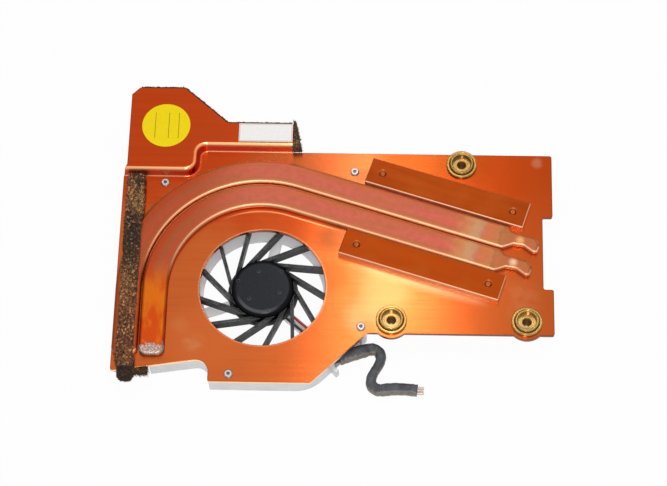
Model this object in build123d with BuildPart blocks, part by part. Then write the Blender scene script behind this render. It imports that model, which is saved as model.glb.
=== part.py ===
from build123d import *
import os
from math import atan2, cos, degrees, hypot, radians, sin, sqrt, tan

# Laptop cooler: a flat blower under a copper plate, with two flattened heat pipes and sprung screw bushes.
# Millimetres. The origin is the fan's axis on the housing's underside, +X right, +Y to the rear, +Z up.

os.makedirs("parts", exist_ok=True)

# Heights of the stack
FLOOR_THICKNESS = 0.8
HOUSING_HEIGHT = 6.3
PLATE_THICKNESS = 1.4
DUCT_RISE = 3.6
PLATE_TOP = HOUSING_HEIGHT + PLATE_THICKNESS
DUCT_UNDER = HOUSING_HEIGHT + DUCT_RISE
DUCT_TOP = PLATE_TOP + DUCT_RISE

# Heat pipes: a pair side by side, straight down the left, round the fan, then straight to the right
PIPE_WIDTH = 8.2
PIPE_THICKNESS = 2.2
PIPE_GAP = 0.4
PIPE_MARGIN = 0.1
BEND_X = -1.0
BEND_Y = -1.1
BEND_RADIUS = 37.9
BRANCH_ANGLE = -17.4
PIPE_LOWER_END = -21.8
LOWER_END_LENGTH = 3.0
LOWER_END_ROUND = 2.4
BRANCH_LENGTH = 69.0
TIP_LENGTH = 12.2
TIP_START = 0.8
TIP_SHOULDER = 2.4
TIP_UPPER = 2.7
TIP_HOOK = 3.0
TIP_WAIST = 7.4
TIP_WAIST_SIDE = 1.2
TIP_NOTCH = 4.0
TIP_NOTCH_SIDE = 1.7
TIP_NOSE = 2.8
TIP_ROUND = 1.2
PIPE_EDGE = 0.95
PIPE_PITCH = PIPE_WIDTH + PIPE_GAP

# Cover plate outline
PLATE_LEFT = BEND_X - BEND_RADIUS - PIPE_PITCH + PIPE_GAP / 2 - PIPE_MARGIN
PLATE_RIGHT = 93.8
PLATE_FRONT = -33.0
STEP_FRONT = -15.4
STEP_X = 34.1
FRONT_CORNER_X = 16.2
LEFT_FRONT = -29.8
NOTCH_X = -16.3
NOTCH_Y = -25.0
NOTCH_RADIUS = 4.0
RECESS_DEPTH = 3.3
RECESS_LOW = 0.6
RECESS_HIGH = 26.5
PLATE_CORNER = 0.7
FAN_OPENING_RADIUS = 20.4

# Raised duct cover at the rear left, joined to the plate by a rounded joggle in the sheet
DUCT_LEFT_STEP = 1.3
DUCT_RIGHT = 8.3
DUCT_DEPTH = 30.3
DUCT_TONGUE = 7.9
DUCT_CHAMFER = 2.6
DIAGONAL_LOW_STEP = 32.5
DIAGONAL_HIGH_STEP = 17.7
DIAGONAL_CORNER = 2.0
JOGGLE_FRONT_RISE = 4.0
JOGGLE_REAR_RISE = 13.4
JOGGLE_STEP = 23.9
JOGGLE_RADIUS = 3.5
JOGGLE_ANGLE = 72.0
JOGGLE_BEND = 0.5
JOGGLE_OUTER_BEND = 1.1
JOGGLE_LAP = 0.3
DUCT_LEFT = PLATE_LEFT + DUCT_LEFT_STEP
DIAGONAL_LOW_X = DUCT_LEFT + DIAGONAL_LOW_STEP
DIAGONAL_HIGH_X = DUCT_LEFT + DIAGONAL_HIGH_STEP
JOGGLE_X = PLATE_LEFT + JOGGLE_STEP
JOGGLE_FRONT = BEND_Y + BEND_RADIUS + JOGGLE_FRONT_RISE
JOGGLE_REAR = BEND_Y + BEND_RADIUS + JOGGLE_REAR_RISE
DUCT_REAR = JOGGLE_FRONT + DUCT_DEPTH
DUCT_LOW_REAR = JOGGLE_REAR + DUCT_TONGUE

# Screw bushes: collars swaged in the plate, sleeves that float in them on springs
LOBE_RADIUS = 6.1
REAR_LOBE_RADIUS = 5.3
FRONT_BUSH_INSET = 4.4
REAR_BUSH_INSET = 3.9
LEFT_BUSH_X = 41.7
RIGHT_BUSH_INSET = 8.8
REAR_BUSH_ALONG = 48.3
REAR_BUSH_GAP = 2.55
FLANGE_RADIUS = 5.0
FLANGE_THICKNESS = 1.0
BARREL_RADIUS = 4.5
BARREL_FIT = 0.03
BARREL_DEPTH = 3.6
SWAGE_RADIUS = 4.9
SWAGE_HEIGHT = 0.8
COLLAR_BORE = 3.95
COLLAR_FLOOR = 0.8
HEAD_CLEARANCE = 0.2
HEAD_THICKNESS = 1.0
STEM_RADIUS = 2.3
STEM_CLEARANCE = 0.12
STEM_FOOT = 0.4
RIM_PROUD = 0.9
RECESS_RADIUS = 3.0
SLEEVE_RECESS = 1.7
SCREW_RADIUS = 1.45
CLIP_THICKNESS = 0.5
CLIP_RADIUS = 3.4
CLIP_PLAY = 0.1
CLIP_GROOVE = 0.35
CLIP_SLOT = 2.0
SPRING_WIRE = 0.5
SPRING_TURNS = 2.5
SPRING_CLEARANCE = 0.15

# Bars beside the pipes, held by pins through the plate
BAR_LENGTH = 54.0
BAR_WIDTH = 9.2
BAR_THICKNESS = 2.6
BAR_GAP = 0.6
BAR_START = 20.2
BAR_BEVEL = 0.25
PIN_PITCH = 44.6
PIN_RADIUS = 1.0
PIN_FIT = 0.03
PIN_SINK_RADIUS = 1.45
PIN_HEAD_DEPTH = 0.25

# Rivets that hold the plate to the housing
RIVET_INSETS = [(13.9, -3.5), (-5.2, -6.9), (6.6, 2.6), (-2.1, 2.0)]
RIVET_HEAD_RADIUS = 1.45
RIVET_HEAD_HEIGHT = 0.6
RIVET_BEVEL = 0.3
RIVET_RADIUS = 0.9
RIVET_FIT = 0.03
RIVET_DEPTH = 3.0
RIVET_DIMPLE = 0.55
RIVET_DIMPLE_DEPTH = 0.25
BOSS_RADIUS = 1.9

# Contact block soldered under the plate, between the pipes' straight runs and the chip
BLOCK_LENGTH = 34.0
BLOCK_WIDTH = 32.0
BLOCK_THICKNESS = 2.5
BLOCK_CENTRE = 60.0
BLOCK_CORNER = 2.0

# Housing
WALL = 1.0
WALL_SETBACK = 0.2
SCROLL_CORNER = 12.0
REAR_CORNER = 6.0
INTAKE_RADIUS = 19.6
MOTOR_BASE_RADIUS = 9.6
STRUT_COUNT = 3
STRUT_WIDTH = 3.4
STRUT_ANGLE = -41.0
BEARING_TUBE_RADIUS = 2.7
BEARING_TUBE_TOP = 5.0
OPENING_CUT = 4.0
OPENING_END = 2.0
HOOK_PLACE = 10.0
HOOK_WIDTH = 1.3
HOOK_ROOT = 1.2
HOOK_REACH = 2.1
HOOK_HEIGHT = 4.2

# Motor
SHAFT_RADIUS = 0.75
RUNNING_CLEARANCE = 0.05
BEARING_RADIUS = 1.9
SHAFT_FLOOR_GAP = 0.3
BOARD_THICKNESS = 0.5
BOARD_RADIUS = 8.4
STATOR_BOTTOM = 2.2
STATOR_HEIGHT = 1.6
STATOR_HUB_RADIUS = 4.0
POLE_COUNT = 4
POLE_NECK = 2.0
POLE_SHOE = 1.0
POLE_SHOE_ANGLE = 66.0
COIL_MARGIN = 0.15
COIL_BUILD = 0.7
AIR_GAP = 0.4
MAGNET_THICKNESS = 1.1
MAGNET_HEIGHT = 2.8
YOKE_THICKNESS = 0.5

# Impeller
BLADE_COUNT = 13
BLADE_PHASE = 23.1
BLADE_THICKNESS = 1.1
BLADE_OFFSET = 9.4
BLADE_OVERLAP = 1.9
BLADE_TOP_GAP = 0.6
BLADE_FLOOR_GAP = 1.3
HUB_RADIUS = 10.2
HUB_WALL = 0.9
HUB_ROOF = 1.0
HUB_BELOW_PLATE = 0.3
HUB_ROUND = 2.0
HUB_WEB = 1.2
HUB_WEB_THICKNESS = 0.7
HUB_DOT_CIRCLE = 5.8
HUB_DOT_RADIUS = 0.5
HUB_DOT_HEIGHT = 0.15
HUB_DOT_ANGLE = 104.0
HUB_PIT_CIRCLE = 8.3
HUB_PIT_RADIUS = 0.55
HUB_PIT_DEPTH = 0.35
HUB_PIT_ANGLE = 44.0
HUB_MARKS = 3

# Fin stacks: folded sheets under the plate's left edge and in the duct
FIN_PITCH = 1.7
FIN_SHEET = 0.25
FIN_SETBACK = 0.3
FIN_DEPTH = 10.9
FIN_HOUSING_GAP = 1.2
FIN_FRONT = -27.4
FIN_END_GAP = 0.6
FIN_LIFT = 0.6
DUCT_FIN_DEPTH = 11.0
DUCT_FIN_FRONT_GAP = 0.4

# Foam seals
FOAM_INSET = 1.7
FOAM_WIDTH = 5.6
FOAM_HEIGHT = 2.9
FOAM_OVERHANG = 3.6
FOAM_CORNER = 1.6
END_FOAM_BASE = 3.0
END_FOAM_TIP = 0.8
END_FOAM_OVER = 1.2
REAR_FOAM = 0.9
REAR_FOAM_HEIGHT = 3.4
CORNER_FOAM_LENGTH = 5.4
CORNER_FOAM_DEPTH = 1.6
CORNER_FOAM_HEIGHT = 4.4
FOAM_CLEARANCE = 0.05

# Labels on the duct cover
LABEL_THICKNESS = 0.12
ROUND_LABEL_RADIUS = 8.0
ROUND_LABEL_STEP = 12.1
ROUND_LABEL_RISE = 16.0
WHITE_LABEL_LENGTH = 17.8
WHITE_LABEL_WIDTH = 6.7
LABEL_EDGE_GAP = 0.2

# Fan cable: a sleeve that is cut off near the fan, and the three leads in it
CABLE_RADIUS = 1.8
CABLE_ROUTE = [
    (25.2, -22.4, 2.7),
    (30.5, -20.6, 2.7),
    (36.2, -18.2, 1.9),
    (39.0, -21.8, 1.85),
    (34.9, -29.8, 1.85),
    (37.4, -33.2, 1.85),
    (43.6, -32.5, 1.85),
    (49.4, -32.7, 1.85),
]
CABLE_WINDOW = 12.0
CABLE_WINDOW_START = 10.7
LEAD_RADIUS = 0.4
LEAD_SPACING = 0.95
LEAD_LIFT = 0.05
LEAD_START = 8.0
LEAD_TURN = 27.0
LEAD_STRAIGHT = 3.2
LEAD_BEND = 1.7
LEAD_END_LENGTH = 3.0
CABLE_BEND_SHARE = 0.45

# Cutters reach this far past what they cut, and edges are told apart by this much
CUT_ALLOWANCE = 1.0
EDGE_TOLERANCE = 0.01


def parallel(points, distance):
    """Points of a polyline moved sideways in plan, to the left of its direction."""
    normals = []
    for start, end in zip(points, points[1:]):
        length = hypot(end[0] - start[0], end[1] - start[1])
        normals.append(((start[1] - end[1]) / length, (end[0] - start[0]) / length))
    moved = []
    for point, before, after in zip(points, normals[:1] + normals, normals + normals[-1:]):
        reach = distance / (1 + before[0] * after[0] + before[1] * after[1])
        x = point[0] + reach * (before[0] + after[0])
        y = point[1] + reach * (before[1] + after[1])
        moved.append((x, y, *point[2:]))
    return moved


def polar(radius, angle):
    """Plan point at an angle in degrees about the fan's axis."""
    return (radius * cos(radians(angle)), radius * sin(radians(angle)))


def plan_ring(point):
    """Plane for a turned profile about a vertical axis through a plan point."""
    return Plane(origin=(*point, 0), x_dir=(1, 0, 0), z_dir=(0, -1, 0))


def save(builder, name):
    """Label a finished piece and write it."""
    builder.part.label = name
    export_step(builder.part, f"parts/{name}.step")


# Straight run of the pipes, which the bars, pins and contact block follow
bend_end = (
    BEND_X + BEND_RADIUS * cos(radians(90 + BRANCH_ANGLE)),
    BEND_Y + BEND_RADIUS * sin(radians(90 + BRANCH_ANGLE)),
)
branch = Plane(
    origin=(*bend_end, PLATE_TOP),
    x_dir=(cos(radians(BRANCH_ANGLE)), sin(radians(BRANCH_ANGLE)), 0),
    z_dir=(0, 0, 1),
)
bar_offset = PIPE_GAP / 2 + PIPE_WIDTH + BAR_GAP + BAR_WIDTH / 2
bar_centre = BAR_START + BAR_LENGTH / 2

rear_bush = branch.from_local_coords(
    (REAR_BUSH_ALONG, bar_offset + BAR_WIDTH / 2 + REAR_BUSH_GAP + FLANGE_RADIUS, 0)
)
plate_rear = rear_bush.Y + REAR_BUSH_INSET
bushes = {
    "front_left": (LEFT_BUSH_X, STEP_FRONT + FRONT_BUSH_INSET),
    "front_right": (PLATE_RIGHT - RIGHT_BUSH_INSET, STEP_FRONT + FRONT_BUSH_INSET),
    "rear": (rear_bush.X, rear_bush.Y),
}

rivet_corners = [
    (PLATE_LEFT, JOGGLE_FRONT),
    (STEP_X, plate_rear),
    (NOTCH_X, PLATE_FRONT),
    (STEP_X, STEP_FRONT),
]
rivets = [(x + dx, y + dy) for (x, y), (dx, dy) in zip(rivet_corners, RIVET_INSETS)]

# Joggle: the sheet's section, and the line that it follows from the left edge to the duct's right end
joggle_line = [
    (PLATE_LEFT, JOGGLE_FRONT),
    (JOGGLE_X, JOGGLE_FRONT),
    (JOGGLE_X, JOGGLE_REAR),
    (DUCT_RIGHT, JOGGLE_REAR),
]
joggle_run = DUCT_RISE / tan(radians(JOGGLE_ANGLE))
joggle_turn = tan(radians(JOGGLE_ANGLE / 2))
joggle_half = (joggle_run + (2 * JOGGLE_BEND + PLATE_THICKNESS) * joggle_turn) / 2
joggle_foot = JOGGLE_BEND * joggle_turn - joggle_half
joggle_reach = joggle_half + JOGGLE_LAP


def joggle_edge(distance):
    """The joggle's line moved towards the duct, with its two rounded corners."""
    FilletPolyline(
        *parallel(joggle_line, distance),
        radius=[JOGGLE_RADIUS - distance, JOGGLE_RADIUS + distance],
    )


with BuildPart() as cover_plate:
    with BuildSketch(Plane.XY.offset(HOUSING_HEIGHT)):
        with BuildLine():
            joggle_edge(-joggle_half)
            FilletPolyline(
                (DUCT_RIGHT, JOGGLE_REAR - joggle_half),
                (DUCT_RIGHT, plate_rear),
                (PLATE_RIGHT, plate_rear),
                (PLATE_RIGHT, RECESS_HIGH),
                (PLATE_RIGHT - RECESS_DEPTH, RECESS_HIGH),
                (PLATE_RIGHT - RECESS_DEPTH, RECESS_LOW),
                (PLATE_RIGHT, RECESS_LOW),
                (PLATE_RIGHT, STEP_FRONT),
                (STEP_X, STEP_FRONT),
                (FRONT_CORNER_X, PLATE_FRONT),
                (NOTCH_X, PLATE_FRONT),
                (NOTCH_X, NOTCH_Y),
                (PLATE_LEFT, LEFT_FRONT),
                (PLATE_LEFT, JOGGLE_FRONT - joggle_half),
                radius=[0] + [PLATE_CORNER] * 9 + [NOTCH_RADIUS, PLATE_CORNER],
            )
        make_face()
        with Locations(bushes["front_left"], bushes["front_right"]):
            Circle(LOBE_RADIUS)
        with Locations(bushes["rear"]):
            Circle(REAR_LOBE_RADIUS)
        with Locations(*bushes.values()):
            Circle(BARREL_RADIUS + BARREL_FIT, mode=Mode.SUBTRACT)
        Circle(FAN_OPENING_RADIUS, mode=Mode.SUBTRACT)
        with Locations(*rivets):
            Circle(RIVET_RADIUS + RIVET_FIT, mode=Mode.SUBTRACT)
    extrude(amount=PLATE_THICKNESS)
    with BuildSketch(branch.offset(-PLATE_THICKNESS)):
        with Locations((bar_centre, 0)):
            with GridLocations(PIN_PITCH, 2 * bar_offset, 2, 2):
                Circle(PIN_RADIUS + PIN_FIT)
    extrude(amount=PLATE_THICKNESS, mode=Mode.SUBTRACT)
    # Raised duct cover
    with BuildSketch(Plane.XY.offset(DUCT_UNDER)):
        with BuildLine():
            joggle_edge(joggle_half)
            FilletPolyline(
                (DUCT_RIGHT, JOGGLE_REAR + joggle_half),
                (DUCT_RIGHT, DUCT_LOW_REAR),
                (DIAGONAL_LOW_X, DUCT_LOW_REAR),
                (DIAGONAL_HIGH_X, DUCT_REAR),
                (PLATE_LEFT, DUCT_REAR),
                (PLATE_LEFT, JOGGLE_FRONT + joggle_half),
                radius=[PLATE_CORNER, DIAGONAL_CORNER, DIAGONAL_CORNER, 0],
            )
        make_face()
    extrude(amount=PLATE_THICKNESS)
    # Joggle between the two levels
    with BuildLine(Plane.XY.offset(HOUSING_HEIGHT)) as joggle_path:
        joggle_edge(0)
    with BuildSketch(Plane(origin=joggle_path.line @ 0, x_dir=(0, 1, 0), z_dir=(1, 0, 0))):
        with BuildLine():
            upper = FilletPolyline(
                (-joggle_reach, PLATE_THICKNESS),
                (joggle_foot, PLATE_THICKNESS),
                (joggle_foot + joggle_run, PLATE_THICKNESS + DUCT_RISE),
                (joggle_reach, PLATE_THICKNESS + DUCT_RISE),
                radius=[JOGGLE_BEND, JOGGLE_OUTER_BEND],
            )
            lower = FilletPolyline(
                (-joggle_reach, 0),
                (joggle_foot + PLATE_THICKNESS * joggle_turn, 0),
                (joggle_foot + joggle_run + PLATE_THICKNESS * joggle_turn, DUCT_RISE),
                (joggle_reach, DUCT_RISE),
                radius=[JOGGLE_OUTER_BEND, JOGGLE_BEND],
            )
            Line(upper @ 0, lower @ 0)
            Line(upper @ 1, lower @ 1)
        make_face()
    sweep()
    # The duct's left edge steps in from the plate's, over the joggle, and its rear corner is cut off
    with BuildSketch(Plane.XY):
        with BuildLine():
            Polyline(
                (PLATE_LEFT, JOGGLE_FRONT - joggle_half),
                (DUCT_LEFT, JOGGLE_FRONT + joggle_half),
                (DUCT_LEFT, DUCT_REAR - DUCT_CHAMFER),
                (DUCT_LEFT + DUCT_CHAMFER, DUCT_REAR),
                (DUCT_LEFT + DUCT_CHAMFER, DUCT_REAR + CUT_ALLOWANCE),
                (PLATE_LEFT - CUT_ALLOWANCE, DUCT_REAR + CUT_ALLOWANCE),
                (PLATE_LEFT - CUT_ALLOWANCE, JOGGLE_FRONT - joggle_half),
                close=True,
            )
        make_face()
    extrude(amount=DUCT_TOP + CUT_ALLOWANCE, mode=Mode.SUBTRACT)
save(cover_plate, "cover_plate")

# Housing outline, just inside the plate's edge and open along the left
fins_right = PLATE_LEFT + FIN_SETBACK + FIN_DEPTH
housing_left = fins_right + FIN_HOUSING_GAP
slant = (NOTCH_Y - LEFT_FRONT) / (NOTCH_X - PLATE_LEFT)
housing_front_left = LEFT_FRONT + slant * (housing_left - PLATE_LEFT)
partition = JOGGLE_FRONT - joggle_half
housing_edge = [
    (housing_left, housing_front_left),
    (NOTCH_X, NOTCH_Y),
    (NOTCH_X, PLATE_FRONT),
    (FRONT_CORNER_X, PLATE_FRONT),
    (STEP_X, STEP_FRONT),
    (STEP_X, plate_rear),
    (DUCT_RIGHT, plate_rear),
    (DUCT_RIGHT, DUCT_LOW_REAR),
    (DIAGONAL_LOW_X, DUCT_LOW_REAR),
    (DIAGONAL_HIGH_X, DUCT_REAR),
    (DUCT_LEFT + DUCT_CHAMFER, DUCT_REAR),
    (DUCT_LEFT, DUCT_REAR - DUCT_CHAMFER),
    (DUCT_LEFT, partition),
    (housing_left, partition),
]
housing_outline = parallel(housing_edge, WALL_SETBACK)
housing_corners = [
    0,
    NOTCH_RADIUS + WALL_SETBACK,
    PLATE_CORNER,
    SCROLL_CORNER,
    2 * PLATE_CORNER,
    REAR_CORNER,
    0,
    PLATE_CORNER,
    DIAGONAL_CORNER,
    DIAGONAL_CORNER,
    PLATE_CORNER,
    PLATE_CORNER,
    0,
    0,
]
diagonal_angle = degrees(atan2(STEP_FRONT - PLATE_FRONT, STEP_X - FRONT_CORNER_X))
diagonal = Plane((FRONT_CORNER_X, PLATE_FRONT, 0)).rotated((0, 0, diagonal_angle))
cable_start = Vector(*CABLE_ROUTE[0])
cable_heading = (Vector(*CABLE_ROUTE[1]) - cable_start).normalized()


with BuildSketch() as housing_plan:
    with BuildLine():
        FilletPolyline(*housing_outline, radius=housing_corners, close=True)
    make_face()

with BuildPart() as fan_housing:
    # Floor with the intake, the motor base and its struts
    with BuildSketch(Plane.XY):
        add(housing_plan.sketch)
        Circle(INTAKE_RADIUS, mode=Mode.SUBTRACT)
        Circle(MOTOR_BASE_RADIUS)
        with PolarLocations((MOTOR_BASE_RADIUS + INTAKE_RADIUS) / 2, STRUT_COUNT, start_angle=STRUT_ANGLE):
            Rectangle(INTAKE_RADIUS - MOTOR_BASE_RADIUS + 2 * WALL, STRUT_WIDTH)
    extrude(amount=FLOOR_THICKNESS)
    # Walls, open to the fin stacks on the left and to the cable at the front
    with BuildSketch(Plane.XY.offset(FLOOR_THICKNESS)) as wall_plan:
        add(housing_plan.sketch)
        offset(amount=-WALL, kind=Kind.INTERSECTION, mode=Mode.SUBTRACT)
        with Locations((housing_left, (housing_front_left + partition) / 2)):
            Rectangle(OPENING_CUT, partition - housing_front_left - 2 * OPENING_END, mode=Mode.SUBTRACT)
        opening_rear = DUCT_REAR - DUCT_CHAMFER
        with Locations((DUCT_LEFT, (partition + opening_rear) / 2)):
            Rectangle(OPENING_CUT, opening_rear - partition - 2 * OPENING_END, mode=Mode.SUBTRACT)
    extrude(amount=HOUSING_HEIGHT - FLOOR_THICKNESS)
    # Taller walls round the raised duct
    with BuildSketch(Plane.XY.offset(HOUSING_HEIGHT)):
        add(wall_plan.sketch_local)
        with Locations((0, JOGGLE_REAR + joggle_half)):
            Rectangle(
                PLATE_RIGHT - PLATE_LEFT,
                DUCT_REAR,
                align=(Align.CENTER, Align.MIN),
                mode=Mode.INTERSECT,
            )
    extrude(amount=DUCT_RISE)
    # Way out for the cable, with a hook beside it
    with BuildSketch(diagonal.offset(FLOOR_THICKNESS)):
        with Locations((CABLE_WINDOW_START, 0)):
            Rectangle(CABLE_WINDOW, OPENING_CUT, align=(Align.MIN, Align.CENTER))
    extrude(amount=HOUSING_HEIGHT, mode=Mode.SUBTRACT)
    with BuildSketch(diagonal):
        with Locations((HOOK_PLACE, -HOOK_REACH)):
            Rectangle(HOOK_WIDTH, HOOK_REACH + HOOK_ROOT, align=(Align.CENTER, Align.MIN))
    extrude(amount=HOOK_HEIGHT)
    # Rivet bosses and the bearing tube
    with BuildSketch(Plane.XY):
        with Locations(*rivets):
            Circle(BOSS_RADIUS)
    extrude(amount=HOUSING_HEIGHT)
    with BuildSketch(Plane.XY.offset(HOUSING_HEIGHT)):
        with Locations(*rivets):
            Circle(RIVET_RADIUS + RIVET_FIT)
    extrude(amount=-RIVET_DEPTH, mode=Mode.SUBTRACT)
    with BuildSketch(Plane.XY):
        Circle(BEARING_TUBE_RADIUS)
    extrude(amount=BEARING_TUBE_TOP)
    with BuildSketch(Plane.XY.offset(FLOOR_THICKNESS)):
        Circle(BEARING_RADIUS)
    extrude(amount=BEARING_TUBE_TOP, mode=Mode.SUBTRACT)
save(fan_housing, "fan_housing")

# Heat pipes
pipe_z = PLATE_TOP + PIPE_THICKNESS / 2
pipes = {
    "inner_heat_pipe": BEND_RADIUS - PIPE_PITCH / 2,
    "outer_heat_pipe": BEND_RADIUS + PIPE_PITCH / 2,
}


def pipe_line(radius):
    """A pipe's centre line: up the left side, round the fan, then along the straight run."""
    Line((BEND_X - radius, PIPE_LOWER_END), (BEND_X - radius, BEND_Y))
    bend = CenterArc((BEND_X, BEND_Y), radius, 180, BRANCH_ANGLE - 90)
    Line(bend @ 1, (bend @ 1) + Vector(branch.x_dir) * BRANCH_LENGTH)


for name, radius in pipes.items():
    with BuildPart() as pipe:
        with BuildLine(Plane.XY.offset(pipe_z)) as path:
            pipe_line(radius)
        with BuildSketch(Plane(origin=path.line @ 0, x_dir=(1, 0, 0), z_dir=(0, 1, 0))):
            SlotOverall(PIPE_WIDTH, PIPE_THICKNESS)
        sweep()
        # Pinched tip where the tube was sealed, which hooks to one side, and a rounded lower end
        tip_base = (path.line @ 1) - (0, 0, PIPE_THICKNESS / 2)
        with BuildSketch(Plane(origin=tip_base, x_dir=branch.x_dir, z_dir=(0, 0, 1))):
            with BuildLine():
                FilletPolyline(
                    (0, PIPE_WIDTH / 2),
                    (TIP_START, PIPE_WIDTH / 2),
                    (TIP_SHOULDER, TIP_UPPER),
                    (TIP_LENGTH, TIP_UPPER),
                    (TIP_LENGTH, -TIP_HOOK),
                    (TIP_WAIST, -TIP_WAIST_SIDE),
                    (TIP_NOTCH, -TIP_NOTCH_SIDE),
                    (TIP_START, -PIPE_WIDTH / 2),
                    (0, -PIPE_WIDTH / 2),
                    radius=[0, TIP_ROUND, TIP_ROUND, TIP_NOSE] + [TIP_ROUND] * 4 + [0],
                    close=True,
                )
            make_face()
        extrude(amount=PIPE_THICKNESS)
        end = Plane(origin=(path.line @ 0) - (0, 0, PIPE_THICKNESS / 2))
        with BuildSketch(end):
            with BuildLine():
                FilletPolyline(
                    (PIPE_WIDTH / 2, 0),
                    (-PIPE_WIDTH / 2, 0),
                    (-PIPE_WIDTH / 2, -LOWER_END_LENGTH),
                    (PIPE_WIDTH / 2, -LOWER_END_LENGTH),
                    radius=[0, 0, LOWER_END_ROUND, LOWER_END_ROUND],
                    close=True,
                )
            make_face()
        extrude(amount=PIPE_THICKNESS)
        rims = [
            edge
            for face in pipe.faces().filter_by(Axis.Z)
            for edge in face.edges()
            if edge.center().Y < PIPE_LOWER_END - EDGE_TOLERANCE
            or branch.to_local_coords(edge.center()).X > BRANCH_LENGTH + EDGE_TOLERANCE
        ]
        fillet(rims, radius=PIPE_EDGE)
    save(pipe, name)

# Bars beside the pipes
for name, side in (("upper_bar", 1), ("lower_bar", -1)):
    with BuildPart() as bar:
        with BuildSketch(branch):
            with Locations((bar_centre, side * bar_offset)):
                Rectangle(BAR_LENGTH, BAR_WIDTH)
        extrude(amount=BAR_THICKNESS)
        chamfer(bar.faces().sort_by(Axis.Z)[-1].edges(), length=BAR_BEVEL)
        with BuildSketch(branch):
            with Locations((bar_centre, side * bar_offset)):
                with GridLocations(PIN_PITCH, 1, 2, 1):
                    Circle(PIN_RADIUS + PIN_FIT)
        extrude(amount=BAR_THICKNESS, mode=Mode.SUBTRACT)
        rims = bar.edges().filter_by(GeomType.CIRCLE).group_by(Axis.Z)[-1]
        chamfer(rims, length=PIN_SINK_RADIUS - PIN_RADIUS)
    save(bar, name)

with BuildPart() as bar_pins:
    with BuildSketch(branch.offset(-PLATE_THICKNESS)):
        with Locations((bar_centre, 0)):
            with GridLocations(PIN_PITCH, 2 * bar_offset, 2, 2):
                Circle(PIN_RADIUS)
    extrude(amount=PLATE_THICKNESS + BAR_THICKNESS - PIN_HEAD_DEPTH)
    chamfer(bar_pins.edges().filter_by(GeomType.CIRCLE).group_by(Axis.Z)[-1], length=PIN_HEAD_DEPTH)
save(bar_pins, "bar_pins")

with BuildPart() as housing_rivets:
    with BuildSketch(Plane.XY.offset(HOUSING_HEIGHT - RIVET_DEPTH)):
        with Locations(*rivets):
            Circle(RIVET_RADIUS)
    extrude(amount=RIVET_DEPTH + PLATE_THICKNESS)
    with BuildSketch(Plane.XY.offset(PLATE_TOP)):
        with Locations(*rivets):
            Circle(RIVET_HEAD_RADIUS)
    extrude(amount=RIVET_HEAD_HEIGHT)
    heads = housing_rivets.edges().filter_by(GeomType.CIRCLE).group_by(Axis.Z)[-1]
    chamfer(heads, length=RIVET_BEVEL)
    with BuildSketch(Plane.XY.offset(PLATE_TOP + RIVET_HEAD_HEIGHT)):
        with Locations(*rivets):
            Circle(RIVET_DIMPLE)
    extrude(amount=-RIVET_DIMPLE_DEPTH, mode=Mode.SUBTRACT)
save(housing_rivets, "housing_rivets")

with BuildPart() as contact_block:
    with BuildSketch(branch.offset(-PLATE_THICKNESS)):
        with Locations((BLOCK_CENTRE, 0)):
            RectangleRounded(BLOCK_LENGTH, BLOCK_WIDTH, BLOCK_CORNER)
    extrude(amount=-BLOCK_THICKNESS)
    chamfer(contact_block.faces().sort_by(Axis.Z)[0].edges(), length=BAR_BEVEL)
save(contact_block, "contact_block")

# Screw bushes
flange_top = PLATE_TOP + FLANGE_THICKNESS
collar_bottom = HOUSING_HEIGHT - BARREL_DEPTH
collar_floor_top = collar_bottom + COLLAR_FLOOR
head_radius = COLLAR_BORE - HEAD_CLEARANCE
rim_top = flange_top + RIM_PROUD
recess_floor = rim_top - SLEEVE_RECESS
head_bottom = recess_floor - HEAD_THICKNESS
clip_top = collar_bottom - CLIP_PLAY
clip_bottom = clip_top - CLIP_THICKNESS
groove_radius = STEM_RADIUS - CLIP_GROOVE
stem_bottom = clip_bottom - STEM_FOOT
spring_radius = STEM_RADIUS + SPRING_CLEARANCE + SPRING_WIRE / 2

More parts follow.
